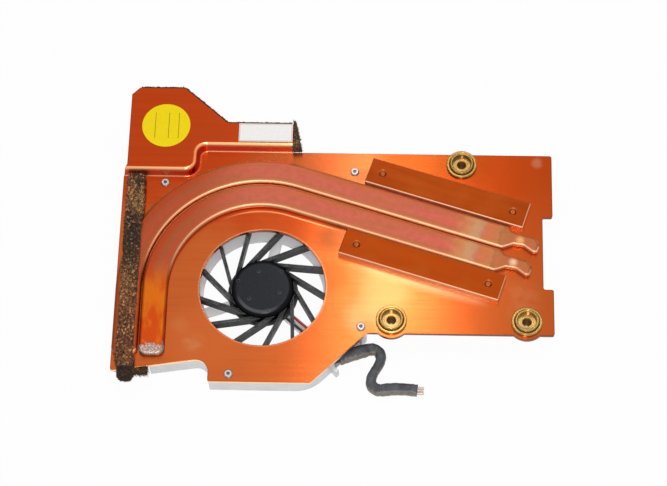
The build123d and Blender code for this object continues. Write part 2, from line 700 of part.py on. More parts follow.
for place, point in bushes.items():
    profile = plan_ring(point)
    centre_line = Axis((*point, 0), (0, 0, 1))
    with BuildPart() as collar:
        with BuildSketch(profile):
            with BuildLine():
                Polyline(
                    (STEM_RADIUS + STEM_CLEARANCE, collar_bottom),
                    (BARREL_RADIUS, collar_bottom),
                    (BARREL_RADIUS, HOUSING_HEIGHT - SWAGE_HEIGHT),
                    (SWAGE_RADIUS, HOUSING_HEIGHT - SWAGE_HEIGHT / 2),
                    (SWAGE_RADIUS, HOUSING_HEIGHT),
                    (BARREL_RADIUS, HOUSING_HEIGHT),
                    (BARREL_RADIUS, PLATE_TOP),
                    (FLANGE_RADIUS, PLATE_TOP),
                    (FLANGE_RADIUS, flange_top - BAR_BEVEL),
                    (FLANGE_RADIUS - BAR_BEVEL, flange_top),
                    (COLLAR_BORE + BAR_BEVEL, flange_top),
                    (COLLAR_BORE, flange_top - BAR_BEVEL),
                    (COLLAR_BORE, collar_floor_top),
                    (STEM_RADIUS + STEM_CLEARANCE, collar_floor_top),
                    close=True,
                )
            make_face()
        revolve(axis=centre_line)
    save(collar, f"{place}_bush_collar")

    with BuildPart() as sleeve:
        with BuildSketch(profile):
            with BuildLine():
                Polyline(
                    (SCREW_RADIUS, stem_bottom),
                    (STEM_RADIUS, stem_bottom),
                    (STEM_RADIUS, clip_bottom),
                    (groove_radius, clip_bottom),
                    (groove_radius, clip_top),
                    (STEM_RADIUS, clip_top),
                    (STEM_RADIUS, head_bottom),
                    (head_radius, head_bottom),
                    (head_radius, rim_top - BAR_BEVEL),
                    (head_radius - BAR_BEVEL, rim_top),
                    (RECESS_RADIUS + BAR_BEVEL, rim_top),
                    (RECESS_RADIUS, rim_top - BAR_BEVEL),
                    (RECESS_RADIUS, recess_floor),
                    (SCREW_RADIUS, recess_floor),
                    close=True,
                )
            make_face()
        revolve(axis=centre_line)
    save(sleeve, f"{place}_bush_sleeve")

    with BuildPart() as clip:
        with BuildSketch(Plane(origin=(*point, clip_bottom))):
            Circle(CLIP_RADIUS)
            Circle(groove_radius, mode=Mode.SUBTRACT)
            with Locations((0, -CLIP_RADIUS)):
                Rectangle(CLIP_SLOT, 2 * (CLIP_RADIUS - groove_radius / 2), mode=Mode.SUBTRACT)
        extrude(amount=CLIP_THICKNESS)
    save(clip, f"{place}_bush_clip")

    with BuildPart() as spring:
        coil_height = head_bottom - collar_floor_top - SPRING_WIRE
        with BuildLine(Plane(origin=(*point, collar_floor_top + SPRING_WIRE / 2))) as coil:
            Helix(pitch=coil_height / SPRING_TURNS, height=coil_height, radius=spring_radius)
        with BuildSketch(Plane(origin=coil.line @ 0, x_dir=(1, 0, 0), z_dir=coil.line % 0)):
            Rectangle(SPRING_WIRE, SPRING_WIRE)
        sweep(is_frenet=True)
    save(spring, f"{place}_bush_spring")

# Motor: bearing, board, stator and coils on the housing
with BuildPart() as bearing_sleeve:
    with BuildSketch(Plane.XY.offset(FLOOR_THICKNESS)):
        Circle(BEARING_RADIUS)
        Circle(SHAFT_RADIUS + RUNNING_CLEARANCE, mode=Mode.SUBTRACT)
    extrude(amount=BEARING_TUBE_TOP - FLOOR_THICKNESS)
save(bearing_sleeve, "bearing_sleeve")

with BuildPart() as motor_board:
    with BuildSketch(Plane.XY.offset(FLOOR_THICKNESS)):
        Circle(BOARD_RADIUS)
        Circle(BEARING_TUBE_RADIUS, mode=Mode.SUBTRACT)
        with Locations(polar(BOARD_RADIUS, STRUT_ANGLE)):
            Rectangle(2 * STRUT_WIDTH, STRUT_WIDTH, rotation=STRUT_ANGLE, mode=Mode.SUBTRACT)
    extrude(amount=BOARD_THICKNESS)
save(motor_board, "motor_board")

hub_top = PLATE_TOP - HUB_BELOW_PLATE
yoke_radius = HUB_RADIUS - HUB_WALL
yoke_top = hub_top - HUB_ROOF
magnet_radius = yoke_radius - YOKE_THICKNESS
stator_radius = magnet_radius - MAGNET_THICKNESS - AIR_GAP
blade_bottom = FLOOR_THICKNESS + BLADE_FLOOR_GAP
blade_top = HOUSING_HEIGHT - BLADE_TOP_GAP
rotor_radius = FAN_OPENING_RADIUS + BLADE_OVERLAP

with BuildPart() as stator_core:
    with BuildSketch(Plane.XY.offset(STATOR_BOTTOM)):
        with PolarLocations(0, POLE_COUNT):
            Rectangle(stator_radius - POLE_SHOE / 2, POLE_NECK, align=(Align.MIN, Align.CENTER))
        shoe_half = POLE_SHOE_ANGLE / 2
        with BuildLine():
            for pole in range(POLE_COUNT):
                middle = pole * 360 / POLE_COUNT
                outer = CenterArc((0, 0), stator_radius, middle - shoe_half, POLE_SHOE_ANGLE)
                inner = CenterArc((0, 0), stator_radius - POLE_SHOE, middle - shoe_half, POLE_SHOE_ANGLE)
                Line(outer @ 0, inner @ 0)
                Line(outer @ 1, inner @ 1)
        make_face()
        Circle(STATOR_HUB_RADIUS)
        Circle(BEARING_TUBE_RADIUS, mode=Mode.SUBTRACT)
    extrude(amount=STATOR_HEIGHT)
save(stator_core, "stator_core")

with BuildPart() as stator_coils:
    coil_start = STATOR_HUB_RADIUS + COIL_MARGIN
    coil_end = sqrt((stator_radius - POLE_SHOE - COIL_MARGIN) ** 2 - (POLE_NECK / 2 + COIL_BUILD) ** 2)
    coil_length = coil_end - coil_start
    coil_middle = (coil_start + coil_end) / 2
    with BuildSketch(Plane.XY.offset(STATOR_BOTTOM - COIL_BUILD)):
        with PolarLocations(coil_middle, POLE_COUNT):
            Rectangle(coil_length, POLE_NECK + 2 * COIL_BUILD)
    extrude(amount=STATOR_HEIGHT + 2 * COIL_BUILD)
    with BuildSketch(Plane.XY.offset(STATOR_BOTTOM)):
        with PolarLocations(coil_middle, POLE_COUNT):
            Rectangle(coil_length, POLE_NECK)
    extrude(amount=STATOR_HEIGHT, mode=Mode.SUBTRACT)
save(stator_coils, "stator_coils")

# Rotor: shaft, yoke, magnet and the impeller over them
with BuildPart() as rotor_shaft:
    with BuildSketch(Plane.XY.offset(FLOOR_THICKNESS + SHAFT_FLOOR_GAP)):
        Circle(SHAFT_RADIUS)
    extrude(amount=yoke_top - FLOOR_THICKNESS - SHAFT_FLOOR_GAP)
save(rotor_shaft, "rotor_shaft")

with BuildPart() as rotor_yoke:
    with BuildSketch(Plane.XY.offset(yoke_top)):
        Circle(yoke_radius)
    extrude(amount=blade_bottom - yoke_top)
    with BuildSketch(Plane.XY.offset(yoke_top - YOKE_THICKNESS)):
        Circle(magnet_radius)
    extrude(amount=blade_bottom - yoke_top, mode=Mode.SUBTRACT)
    with BuildSketch(Plane.XY.offset(yoke_top)):
        Circle(SHAFT_RADIUS)
    extrude(amount=-YOKE_THICKNESS, mode=Mode.SUBTRACT)
save(rotor_yoke, "rotor_yoke")

with BuildPart() as rotor_magnet:
    with BuildSketch(Plane.XY.offset(blade_bottom)):
        Circle(magnet_radius)
        Circle(magnet_radius - MAGNET_THICKNESS, mode=Mode.SUBTRACT)
    extrude(amount=MAGNET_HEIGHT)
save(rotor_magnet, "rotor_magnet")

with BuildPart() as impeller:
    with BuildSketch(Plane.XY.offset(blade_bottom)):
        Circle(HUB_RADIUS)
    extrude(amount=hub_top - blade_bottom)
    fillet(impeller.faces().sort_by(Axis.Z)[-1].edges(), radius=HUB_ROUND)
    # Straight blades that lean back from the hub
    blade_length = sqrt(rotor_radius**2 - BLADE_OFFSET**2)
    with BuildSketch(Plane.XY.offset(blade_bottom)):
        with PolarLocations(0, BLADE_COUNT, start_angle=BLADE_PHASE):
            with Locations((blade_length, BLADE_OFFSET)):
                Rectangle(blade_length, BLADE_THICKNESS, align=(Align.MAX, Align.CENTER))
    extrude(amount=blade_top - blade_bottom)
    with BuildSketch(Plane.XY.offset(blade_bottom)):
        Circle(HUB_RADIUS + HUB_WEB)
    extrude(amount=HUB_WEB_THICKNESS)
    # Hollow for the yoke
    with BuildSketch(Plane.XY.offset(blade_bottom)):
        Circle(yoke_radius)
    extrude(amount=yoke_top - blade_bottom, mode=Mode.SUBTRACT)
    # Moulding marks on the hub
    with BuildSketch(Plane.XY.offset(hub_top)):
        with PolarLocations(HUB_DOT_CIRCLE, HUB_MARKS, start_angle=HUB_DOT_ANGLE):
            Circle(HUB_DOT_RADIUS)
    extrude(amount=HUB_DOT_HEIGHT)
    with BuildSketch(Plane.XY.offset(hub_top)):
        with PolarLocations(HUB_PIT_CIRCLE, HUB_MARKS, start_angle=HUB_PIT_ANGLE):
            Circle(HUB_PIT_RADIUS)
    extrude(amount=-HUB_PIT_DEPTH, mode=Mode.SUBTRACT)
save(impeller, "impeller")

# Fin stacks: a sheet folded to and fro across the air's way, so that the air passes between its walls
fin_stacks = {
    "left_fins": (
        PLATE_LEFT + FIN_SETBACK,
        fins_right,
        FIN_FRONT,
        partition - FIN_END_GAP,
        FIN_LIFT,
        HOUSING_HEIGHT,
    ),
    "duct_fins": (
        DUCT_LEFT + FIN_SETBACK,
        DUCT_LEFT + FIN_SETBACK + DUCT_FIN_DEPTH,
        JOGGLE_FRONT + joggle_half + DUCT_FIN_FRONT_GAP,
        DUCT_REAR - DUCT_CHAMFER - OPENING_END - FIN_END_GAP,
        FLOOR_THICKNESS,
        DUCT_UNDER,
    ),
}
for name, (left, right, front, rear, bottom, top) in fin_stacks.items():
    folds = int((rear - front - FIN_SHEET) / FIN_PITCH)
    walls = [front + FIN_SHEET / 2 + FIN_PITCH * index for index in range(folds + 1)]
    with BuildPart() as fins:
        with BuildSketch(Plane.YZ.offset(left)):
            with Locations(*[(y, (bottom + top) / 2) for y in walls]):
                Rectangle(FIN_SHEET, top - bottom)
            for index, y in enumerate(walls[:-1]):
                height = top - FIN_SHEET / 2 if index % 2 else bottom + FIN_SHEET / 2
                with Locations((y + FIN_PITCH / 2, height)):
                    Rectangle(FIN_PITCH + FIN_SHEET, FIN_SHEET)
        extrude(amount=right - left)
    save(fins, name)

# Foam seals
foam_left = PLATE_LEFT + FOAM_INSET
foam_rear = partition - FOAM_CLEARANCE
foam_front = LEFT_FRONT - FOAM_OVERHANG
with BuildPart() as left_foam:
    with BuildSketch(Plane.XY.offset(PLATE_TOP)):
        with Locations((foam_left + FOAM_WIDTH / 2, (foam_front + foam_rear) / 2)):
            RectangleRounded(FOAM_WIDTH, foam_rear - foam_front, FOAM_CORNER)
    extrude(amount=FOAM_HEIGHT)
    # Room for the outer pipe, which the strip lies on
    with BuildLine(Plane.XY.offset(PLATE_TOP)) as pipe_path:
        pipe_line(pipes["outer_heat_pipe"])
    room = PIPE_WIDTH + 2 * FOAM_CLEARANCE
    with BuildSketch(Plane(origin=pipe_path.line @ 0, x_dir=(1, 0, 0), z_dir=(0, 1, 0))):
        Rectangle(room, 2 * (PIPE_THICKNESS + FOAM_CLEARANCE))
    sweep(mode=Mode.SUBTRACT)
    room_end = (pipe_path.line @ 0) - (0, LOWER_END_LENGTH + FOAM_CLEARANCE, 0)
    with BuildSketch(Plane(room_end)):
        Rectangle(room, LOWER_END_LENGTH + 2 * FOAM_CLEARANCE, align=(Align.CENTER, Align.MIN))
    extrude(amount=PIPE_THICKNESS + FOAM_CLEARANCE, mode=Mode.SUBTRACT)
save(left_foam, "left_foam_strip")

with BuildPart() as end_foam:
    with BuildSketch(Plane.XY.offset(PLATE_TOP)):
        with BuildLine():
            Polyline(
                (DUCT_RIGHT, plate_rear + FOAM_CLEARANCE),
                (DUCT_RIGHT + END_FOAM_BASE, plate_rear + FOAM_CLEARANCE),
                (DUCT_RIGHT + END_FOAM_TIP, DUCT_LOW_REAR + END_FOAM_OVER),
                (DUCT_RIGHT, DUCT_LOW_REAR + END_FOAM_OVER),
                close=True,
            )
        make_face()
    extrude(amount=DUCT_RISE)
save(end_foam, "duct_end_foam")

rear_edge = [
    (DUCT_RIGHT, DUCT_LOW_REAR),
    (DIAGONAL_LOW_X, DUCT_LOW_REAR),
    (DIAGONAL_HIGH_X, DUCT_REAR),
    (DUCT_LEFT + DUCT_CHAMFER, DUCT_REAR),
]
with BuildPart() as rear_foam:
    with BuildSketch(Plane.XY.offset(DUCT_TOP - REAR_FOAM_HEIGHT)):
        with BuildLine():
            near = FilletPolyline(*rear_edge, radius=DIAGONAL_CORNER)
            far = FilletPolyline(
                *parallel(rear_edge, -REAR_FOAM),
                radius=[DIAGONAL_CORNER - REAR_FOAM, DIAGONAL_CORNER + REAR_FOAM],
            )
            Line(near @ 0, far @ 0)
            Line(near @ 1, far @ 1)
        make_face()
    extrude(amount=REAR_FOAM_HEIGHT)
save(rear_foam, "duct_rear_foam")

with BuildPart() as corner_foam:
    with BuildSketch(Plane.XY.offset(HOUSING_HEIGHT - CORNER_FOAM_HEIGHT)):
        with Locations((fins_right, FIN_FRONT)):
            Rectangle(CORNER_FOAM_LENGTH, CORNER_FOAM_DEPTH, align=(Align.MAX, Align.MAX))
    extrude(amount=CORNER_FOAM_HEIGHT)
save(corner_foam, "corner_foam")

# Labels on the duct cover, left blank
with BuildPart() as round_label:
    with BuildSketch(Plane((DUCT_LEFT + ROUND_LABEL_STEP, JOGGLE_FRONT + ROUND_LABEL_RISE, DUCT_TOP))):
        Circle(ROUND_LABEL_RADIUS)
    extrude(amount=LABEL_THICKNESS)
save(round_label, "round_label")

with BuildPart() as white_label:
    with BuildSketch(Plane.XY.offset(DUCT_TOP)):
        with Locations((DUCT_RIGHT - LABEL_EDGE_GAP, DUCT_LOW_REAR - LABEL_EDGE_GAP)):
            Rectangle(WHITE_LABEL_LENGTH, WHITE_LABEL_WIDTH, align=(Align.MAX, Align.MAX))
    extrude(amount=LABEL_THICKNESS)
save(white_label, "white_label")

# Fan cable: each bend of its route as round as its two runs allow
route = [Vector(*point) for point in CABLE_ROUTE]
runs = [end - start for start, end in zip(route, route[1:])]
bends = [
    CABLE_BEND_SHARE * min(before.length, after.length) / tan(radians(before.get_angle(after) / 2))
    for before, after in zip(runs, runs[1:])
]
with BuildPart() as cable:
    with BuildLine() as cable_path:
        FilletPolyline(*CABLE_ROUTE, radius=bends)
    with BuildSketch(Plane(origin=cable_start, z_dir=cable_heading)):
        Circle(CABLE_RADIUS)
    sweep()
save(cable, "cable_sleeve")
cable_length = cable_path.wires()[0].length
print("cable bend radii", [round(bend, 1) for bend in bends], "length", round(cable_length, 1))

# Leads from the motor board along a strut into the sleeve, and their cut ends at its far end
strut = polar(1, STRUT_ANGLE)
lead_z = FLOOR_THICKNESS + LEAD_LIFT + LEAD_RADIUS
lead_turn = cable_start - cable_heading * LEAD_STRAIGHT
lead_route = [
    (LEAD_START * strut[0], LEAD_START * strut[1], lead_z),
    (LEAD_TURN * strut[0], LEAD_TURN * strut[1], lead_z),
    (lead_turn.X, lead_turn.Y, cable_start.Z),
    (cable_start.X, cable_start.Y, cable_start.Z),
]
cable_end = route[-1]
end_heading = runs[-1].normalized()
end_plane = Plane(origin=cable_end, x_dir=(-end_heading.Y, end_heading.X, 0), z_dir=end_heading)
for place, colour in ((1, "red"), (0, "white"), (-1, "black")):
    with BuildPart() as lead:
        shift = place * LEAD_SPACING
        with BuildLine() as lead_path:
            FilletPolyline(*parallel(lead_route, shift), radius=[LEAD_BEND + shift, LEAD_BEND - shift / 2])
        with BuildSketch(Plane(origin=lead_path.line @ 0, z_dir=lead_path.line % 0)):
            Circle(LEAD_RADIUS)
        sweep()
    save(lead, f"{colour}_lead")
    with BuildPart() as lead_end:
        with BuildSketch(end_plane):
            with Locations((shift, 0)):
                Circle(LEAD_RADIUS)
        extrude(amount=LEAD_END_LENGTH)
    save(lead_end, f"{colour}_lead_end")
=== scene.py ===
from math import copysign, cos, pi, radians, sin
from random import Random

import bmesh
import bpy
from mathutils import Matrix, Vector
from mathutils import noise as fractal


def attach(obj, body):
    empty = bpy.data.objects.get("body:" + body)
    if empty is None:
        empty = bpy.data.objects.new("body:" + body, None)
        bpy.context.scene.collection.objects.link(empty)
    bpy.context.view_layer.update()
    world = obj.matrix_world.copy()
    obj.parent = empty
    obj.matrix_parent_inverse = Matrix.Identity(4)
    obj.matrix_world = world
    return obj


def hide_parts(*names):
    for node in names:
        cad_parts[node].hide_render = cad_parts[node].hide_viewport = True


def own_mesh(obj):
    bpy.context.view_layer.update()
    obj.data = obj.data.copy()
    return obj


# Looks of the laptop cooler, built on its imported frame. Metres, with the frame's own origin and axes.

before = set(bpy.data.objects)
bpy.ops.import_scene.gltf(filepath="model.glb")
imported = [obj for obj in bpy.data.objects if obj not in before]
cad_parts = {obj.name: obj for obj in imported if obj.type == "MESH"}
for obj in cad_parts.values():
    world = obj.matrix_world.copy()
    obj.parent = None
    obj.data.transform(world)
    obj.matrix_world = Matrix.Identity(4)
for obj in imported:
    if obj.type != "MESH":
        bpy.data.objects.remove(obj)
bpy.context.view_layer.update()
MM = 0.001

# Camera, solved from the photograph's straight edges and the fan's round opening
CAMERA_PLACE = (0.042572, -0.302490, 0.674221)
CAMERA_ELEVATION = 64.406
CAMERA_ROLL = -2.406
CAMERA_YAW = -3.601
CAMERA_LENS = 122.615
SENSOR_WIDTH = 36.0

# Fan cable: the route's points from the part's source, moved by up to 0.9 mm to follow the photograph
CABLE_ROUTE = [
    (0.0252, -0.0224, 0.0027),
    (0.0305, -0.0206, 0.0027),
    (0.0366, -0.0181, 0.0019),
    (0.0394, -0.0219, 0.00185),
    (0.0347, -0.0295, 0.00185),
    (0.0372, -0.0333, 0.00185),
    (0.0434, -0.0319, 0.00185),
    (0.0503, -0.0327, 0.00185),
]
CABLE_RADIUS = 1.8 * MM
CABLE_SIDES = 32
CABLE_STEPS = 21

# Its section: wider than high, wider still near the exit, narrower between the folds and squarer than round
CABLE_WIDER = 1.10
CABLE_FLATTER = 0.97
CABLE_FLARE = 0.18
CABLE_FLARE_STEPS = 36
CABLE_WAIST = 0.24
CABLE_WAIST_MIDDLE = 0.50
CABLE_WAIST_HALF = 0.22
CABLE_SQUARE = 0.72

# Its creases: height, middle of the noise, scales along the route and over the surface, share of the second
CABLE_CREASE = 0.14 * MM
CABLE_CREASE_MIDDLE = 0.5
CABLE_WRINKLES = 1100
CABLE_DENTS = 700
CABLE_DENT_SHARE = 0.7

# Where the materials change, in millimetres from here on unless a value has MM or a comment says otherwise:
# upper faces of the plate, the pipes and the duct, and radii about the fan's axis
PLATE_TOP = 7.7
PIPE_TOP = 9.9
DUCT_TOP = 11.3
OPENING_RADIUS = 20.5
HOUSING_INSIDE = 25.0
HUB_SHOULDER = 8.5
BLADE_START = 10.0

# Heat pipes: the bend's centre, the line between the two pipes, their pitch and the straight run
BEND_CENTRE = (-1.0, -1.1)
BEND_RADIUS = 37.9
PIPE_PITCH = 8.6
BRANCH_START = (10.33, 35.07)
BRANCH_ANGLE = -17.4

# Bars beside the pipes: their middle line's distance from the line between the pipes, half width and far end
BAR_MIDDLE = 13.6
BAR_HALF = 4.6
BAR_END = 74.2

# Bushes: centre and share of painted shade that darkens the brass, then the radii of the collar's wall and
# the sleeve's bore
BUSH_PLACES = {
    "front_left": ((41.7, -11.0), 0.0),
    "front_right": ((85.0, -11.0), 0.0),
    "rear": ((64.12, 45.19), 0.35),
}
BUSH_WALL_INNER = 3.60
BUSH_WALL_OUTER = 4.02
BUSH_BORE = 1.50

# Heat tints across the pipes, the last row being painted shade in the crease at the tips' neck: start, peak
# and end along the run, strength, colour
PIPE_TINTS = [
    (52.0, 57.5, 62.5, 0.45, (0.50, 0.26, 0.09)),
    (57.0, 60.5, 64.5, 0.50, (0.42, 0.33, 0.17)),
    (62.0, 65.0, 69.0, 0.45, (0.52, 0.18, 0.06)),
    (65.5, 68.5, 71.0, 0.45, (0.46, 0.27, 0.09)),
    # painted shade in the crease at the tips' neck
    (67.0, 68.8, 70.6, 0.50, (0.24, 0.075, 0.022)),
]

# Painted highlights on the pipes' tips: centre, strength, colour
TIP_HIGHLIGHTS = [
    ((80.7, 9.2), 0.60, (0.88, 0.62, 0.42)),
    ((83.0, 17.1), 0.50, (0.90, 0.52, 0.22)),
]

# Patches of painted light and shade that shape the plate's highlight, and slow changes of its tone: centre,
# radius, strength, colour
PLATE_SHADING_AND_TONES = [
    ((39.5, 0.0), 12.0, 0.65, (0.58, 0.175, 0.062)),
    ((-20.0, -19.0), 18.0, 0.75, (0.60, 0.130, 0.032)),
    ((51.0, 47.0), 17.0, 0.70, (0.17, 0.043, 0.007)),
    ((22.0, 4.0), 9.0, 0.55, (0.42, 0.070, 0.013)),
    ((23.0, 18.0), 8.0, 0.70, (0.22, 0.061, 0.018)),
    ((64.0, 46.0), 14.0, 0.50, (0.25, 0.042, 0.005)),
    ((33.0, -10.0), 9.0, 0.55, (0.60, 0.165, 0.066)),
    ((34.0, -14.0), 4.2, 0.60, (0.42, 0.080, 0.020)),
    ((31.3, 40.8), 3.6, 0.60, (0.16, 0.055, 0.024)),
]

# Pale stains on the plate: centre, radius, strength, colour
PLATE_STAINS = [
    ((89.0, 46.4), 2.7, 0.36, (0.54, 0.28, 0.15)),
    ((-21.4, -19.9), 5.0, 0.35, (0.66, 0.27, 0.11)),
    ((-26.0, -14.0), 4.5, 0.25, (0.64, 0.22, 0.08)),
    ((83.0, -3.0), 9.0, 0.25, (0.56, 0.20, 0.09)),
]

# Rivets that hold the plate: centres, and the radius of the dimple in each head
RIVET_PLACES = [(-33.5, 37.3), (28.9, 42.2), (-9.7, -30.4), (32.0, -13.4)]
RIVET_DIMPLE = 0.55

# Foam: grain, height, middle and scales of its rough surface, and how far down a face may look to be rough
FOAM_VOXEL = 0.32 * MM
FOAM_SWELL = 0.22
FOAM_SINK = 0.15
FOAM_COARSE = 900
FOAM_FINE = 2300
FOAM_FINE_SHARE = 0.6
FOAM_UNDERSIDE = -0.4

# Loose fibres: shares of their reach, half widths, rise, lean, curl, taper and how deep they are rooted
FIBRE_SHARES = (0.3, 1.0)
FIBRE_HALF_WIDTHS = (0.05, 0.10)
FIBRE_RISE = (-0.2, 0.8)
FIBRE_LEAN = 0.9
FIBRE_MIDDLE = 0.55
FIBRE_MIDDLE_CURL = 0.12
FIBRE_TIP_CURL = 0.35
FIBRE_TAPER = 0.8
FIBRE_ROOT = 0.1

# Front end of the left seal, beyond the plate: the fibres stand thicker there, and it narrows and leans
LOOSE_END = -29.5 * MM
LOOSE_CROWD = 6
LOOSE_START = -27.5 * MM
LOOSE_DEPTH = 2.5 * MM
LOOSE_MIDDLE = -43.4 * MM
LOOSE_NARROW = 0.20
LOOSE_LEAN = 0.7 * MM

# Direction of the painted highlight on the hub's shoulder, in degrees
HUB_HIGHLIGHT_ANGLE = -105.0

# Stickers: the round one's centre and its ruled lines, and the white one's corners
ROUND_LABEL_CENTRE = (-34.0, 56.8)
RULED_LINES = (-3.6, 0.9, 4.2)
RULED_HALF_LENGTH = 4.6
RULED_HALF_WIDTH = 0.06
WHITE_LABEL_BOX = ((-9.7, 51.2), (8.1, 57.9))

# White floor: half its side in metres, grey, roughness and share of its own glow
FLOOR_HALF = 2.0
FLOOR_GREY = 0.86
FLOOR_ROUGHNESS = 0.9
FLOOR_GLOW = 0.95

# Surroundings: the height that is full white, the share of white at the horizon and the share that lights
SKY_FULL = 0.85
SKY_HORIZON = 0.55
SKY_LIGHT = 0.58

# Lamps: place, target, size and power, in metres and watts
LAMPS = {
    "flash": ((0.050, -0.345, 0.740), (0.020, 0.015, 0.0), (0.10, 0.07), 2.4),
    "overhead": ((0.040, 0.360, 0.745), (0.040, 0.020, 0.0), (0.07, 0.29), 0.56),
}


def link(obj):
    """Put a new object in the scene."""
    bpy.context.scene.collection.objects.link(obj)
    return obj


def taken_mesh(obj):
    """Mesh of an object as it is shown, taken from it before it is removed."""
    shaped = obj.evaluated_get(bpy.context.evaluated_depsgraph_get())
    mesh = bpy.data.meshes.new_from_object(shaped)
    bpy.data.objects.remove(obj)
    return mesh


def make_camera():
    """Camera at the photograph's place and angle."""
    elevation = radians(CAMERA_ELEVATION)
    look = Matrix(
        (
            (1, 0, 0),
            (0, -sin(elevation), -cos(elevation)),
            (0, cos(elevation), -sin(elevation)),
        )
    )
    turn = Matrix.Rotation(radians(CAMERA_YAW), 3, "Z")
    roll = Matrix.Rotation(radians(CAMERA_ROLL), 3, "Z")
    axes = roll @ look @ turn
    rotation = Matrix((axes[0], -axes[1], -axes[2])).transposed()
    data = bpy.data.cameras.new("camera")
    data.sensor_fit = "HORIZONTAL"
    data.sensor_width = SENSOR_WIDTH
    data.lens = CAMERA_LENS
    camera = link(bpy.data.objects.new("camera", data))
    camera.matrix_world = Matrix.Translation(CAMERA_PLACE) @ rotation.to_4x4()
    bpy.context.scene.camera = camera


def spline_points(route):
    """Points along the smooth line that the cable's route gives."""
    data = bpy.data.curves.new("cable_line", "CURVE")
    data.dimensions = "3D"
    spline = data.splines.new("NURBS")
    spline.points.add(len(route) - 1)
    for point, place in zip(spline.points, route):
        point.co = (*place, 1)
    spline.order_u = 3
    spline.use_endpoint_u = True
    data.resolution_u = CABLE_STEPS
    mesh = taken_mesh(link(bpy.data.objects.new("cable_line", data)))
    points = [vertex.co.copy() for vertex in mesh.vertices]
    bpy.data.meshes.remove(mesh)
    return points


def make_cable():
    """Sleeve of the fan cable: a tube along the route, with creases across it and closed ends."""
    path = spline_points(CABLE_ROUTE)
    shape = bmesh.new()
    rings = []
    for index, place in enumerate(path):
        heading = (path[min(index + 1, len(path) - 1)] - path[max(index - 1, 0)]).normalized()
        across = heading.cross(Vector((0, 0, 1))).normalized()
        up = across.cross(heading)
        flare = CABLE_FLARE * max(0.0, 1 - index / CABLE_FLARE_STEPS)
        apart = abs(index / (len(path) - 1) - CABLE_WAIST_MIDDLE)
        waist = CABLE_WAIST * max(0.0, 1 - apart / CABLE_WAIST_HALF)
        half = CABLE_WIDER + flare - waist
        ring = []
        for side in range(CABLE_SIDES):
            angle = 2 * pi * side / CABLE_SIDES
            wide = copysign(abs(cos(angle)) ** CABLE_SQUARE, cos(angle)) * half
            high = copysign(abs(sin(angle)) ** CABLE_SQUARE, sin(angle)) * CABLE_FLATTER
            outward = across * wide + up * high
            crease = fractal.noise(place * CABLE_WRINKLES)
            crease += CABLE_DENT_SHARE * fractal.noise((place + outward * CABLE_RADIUS) * CABLE_DENTS)
            radius = CABLE_RADIUS + CABLE_CREASE * (crease - CABLE_CREASE_MIDDLE)
            ring.append(shape.verts.new(place + outward * radius))
        rings.append(ring)
    for first, second in zip(rings, rings[1:]):
        for side in range(CABLE_SIDES):
            after = (side + 1) % CABLE_SIDES
            shape.faces.new((first[side], first[after], second[after], second[side]))
    shape.faces.new(rings[0][::-1])
    shape.faces.new(rings[-1])
    piece = finish_mesh(shape, "fan_cable")
    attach(piece, "cooler")
    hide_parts("cable_sleeve")
    return piece


def finish_mesh(shape, name):
    """Turn a bmesh into a smooth-shaded object in the scene."""
    bmesh.ops.recalc_face_normals(shape, faces=shape.faces)
    mesh = bpy.data.meshes.new(name)
    shape.to_mesh(mesh)
    shape.free()
    mesh.shade_smooth()
    return link(bpy.data.objects.new(name, mesh))


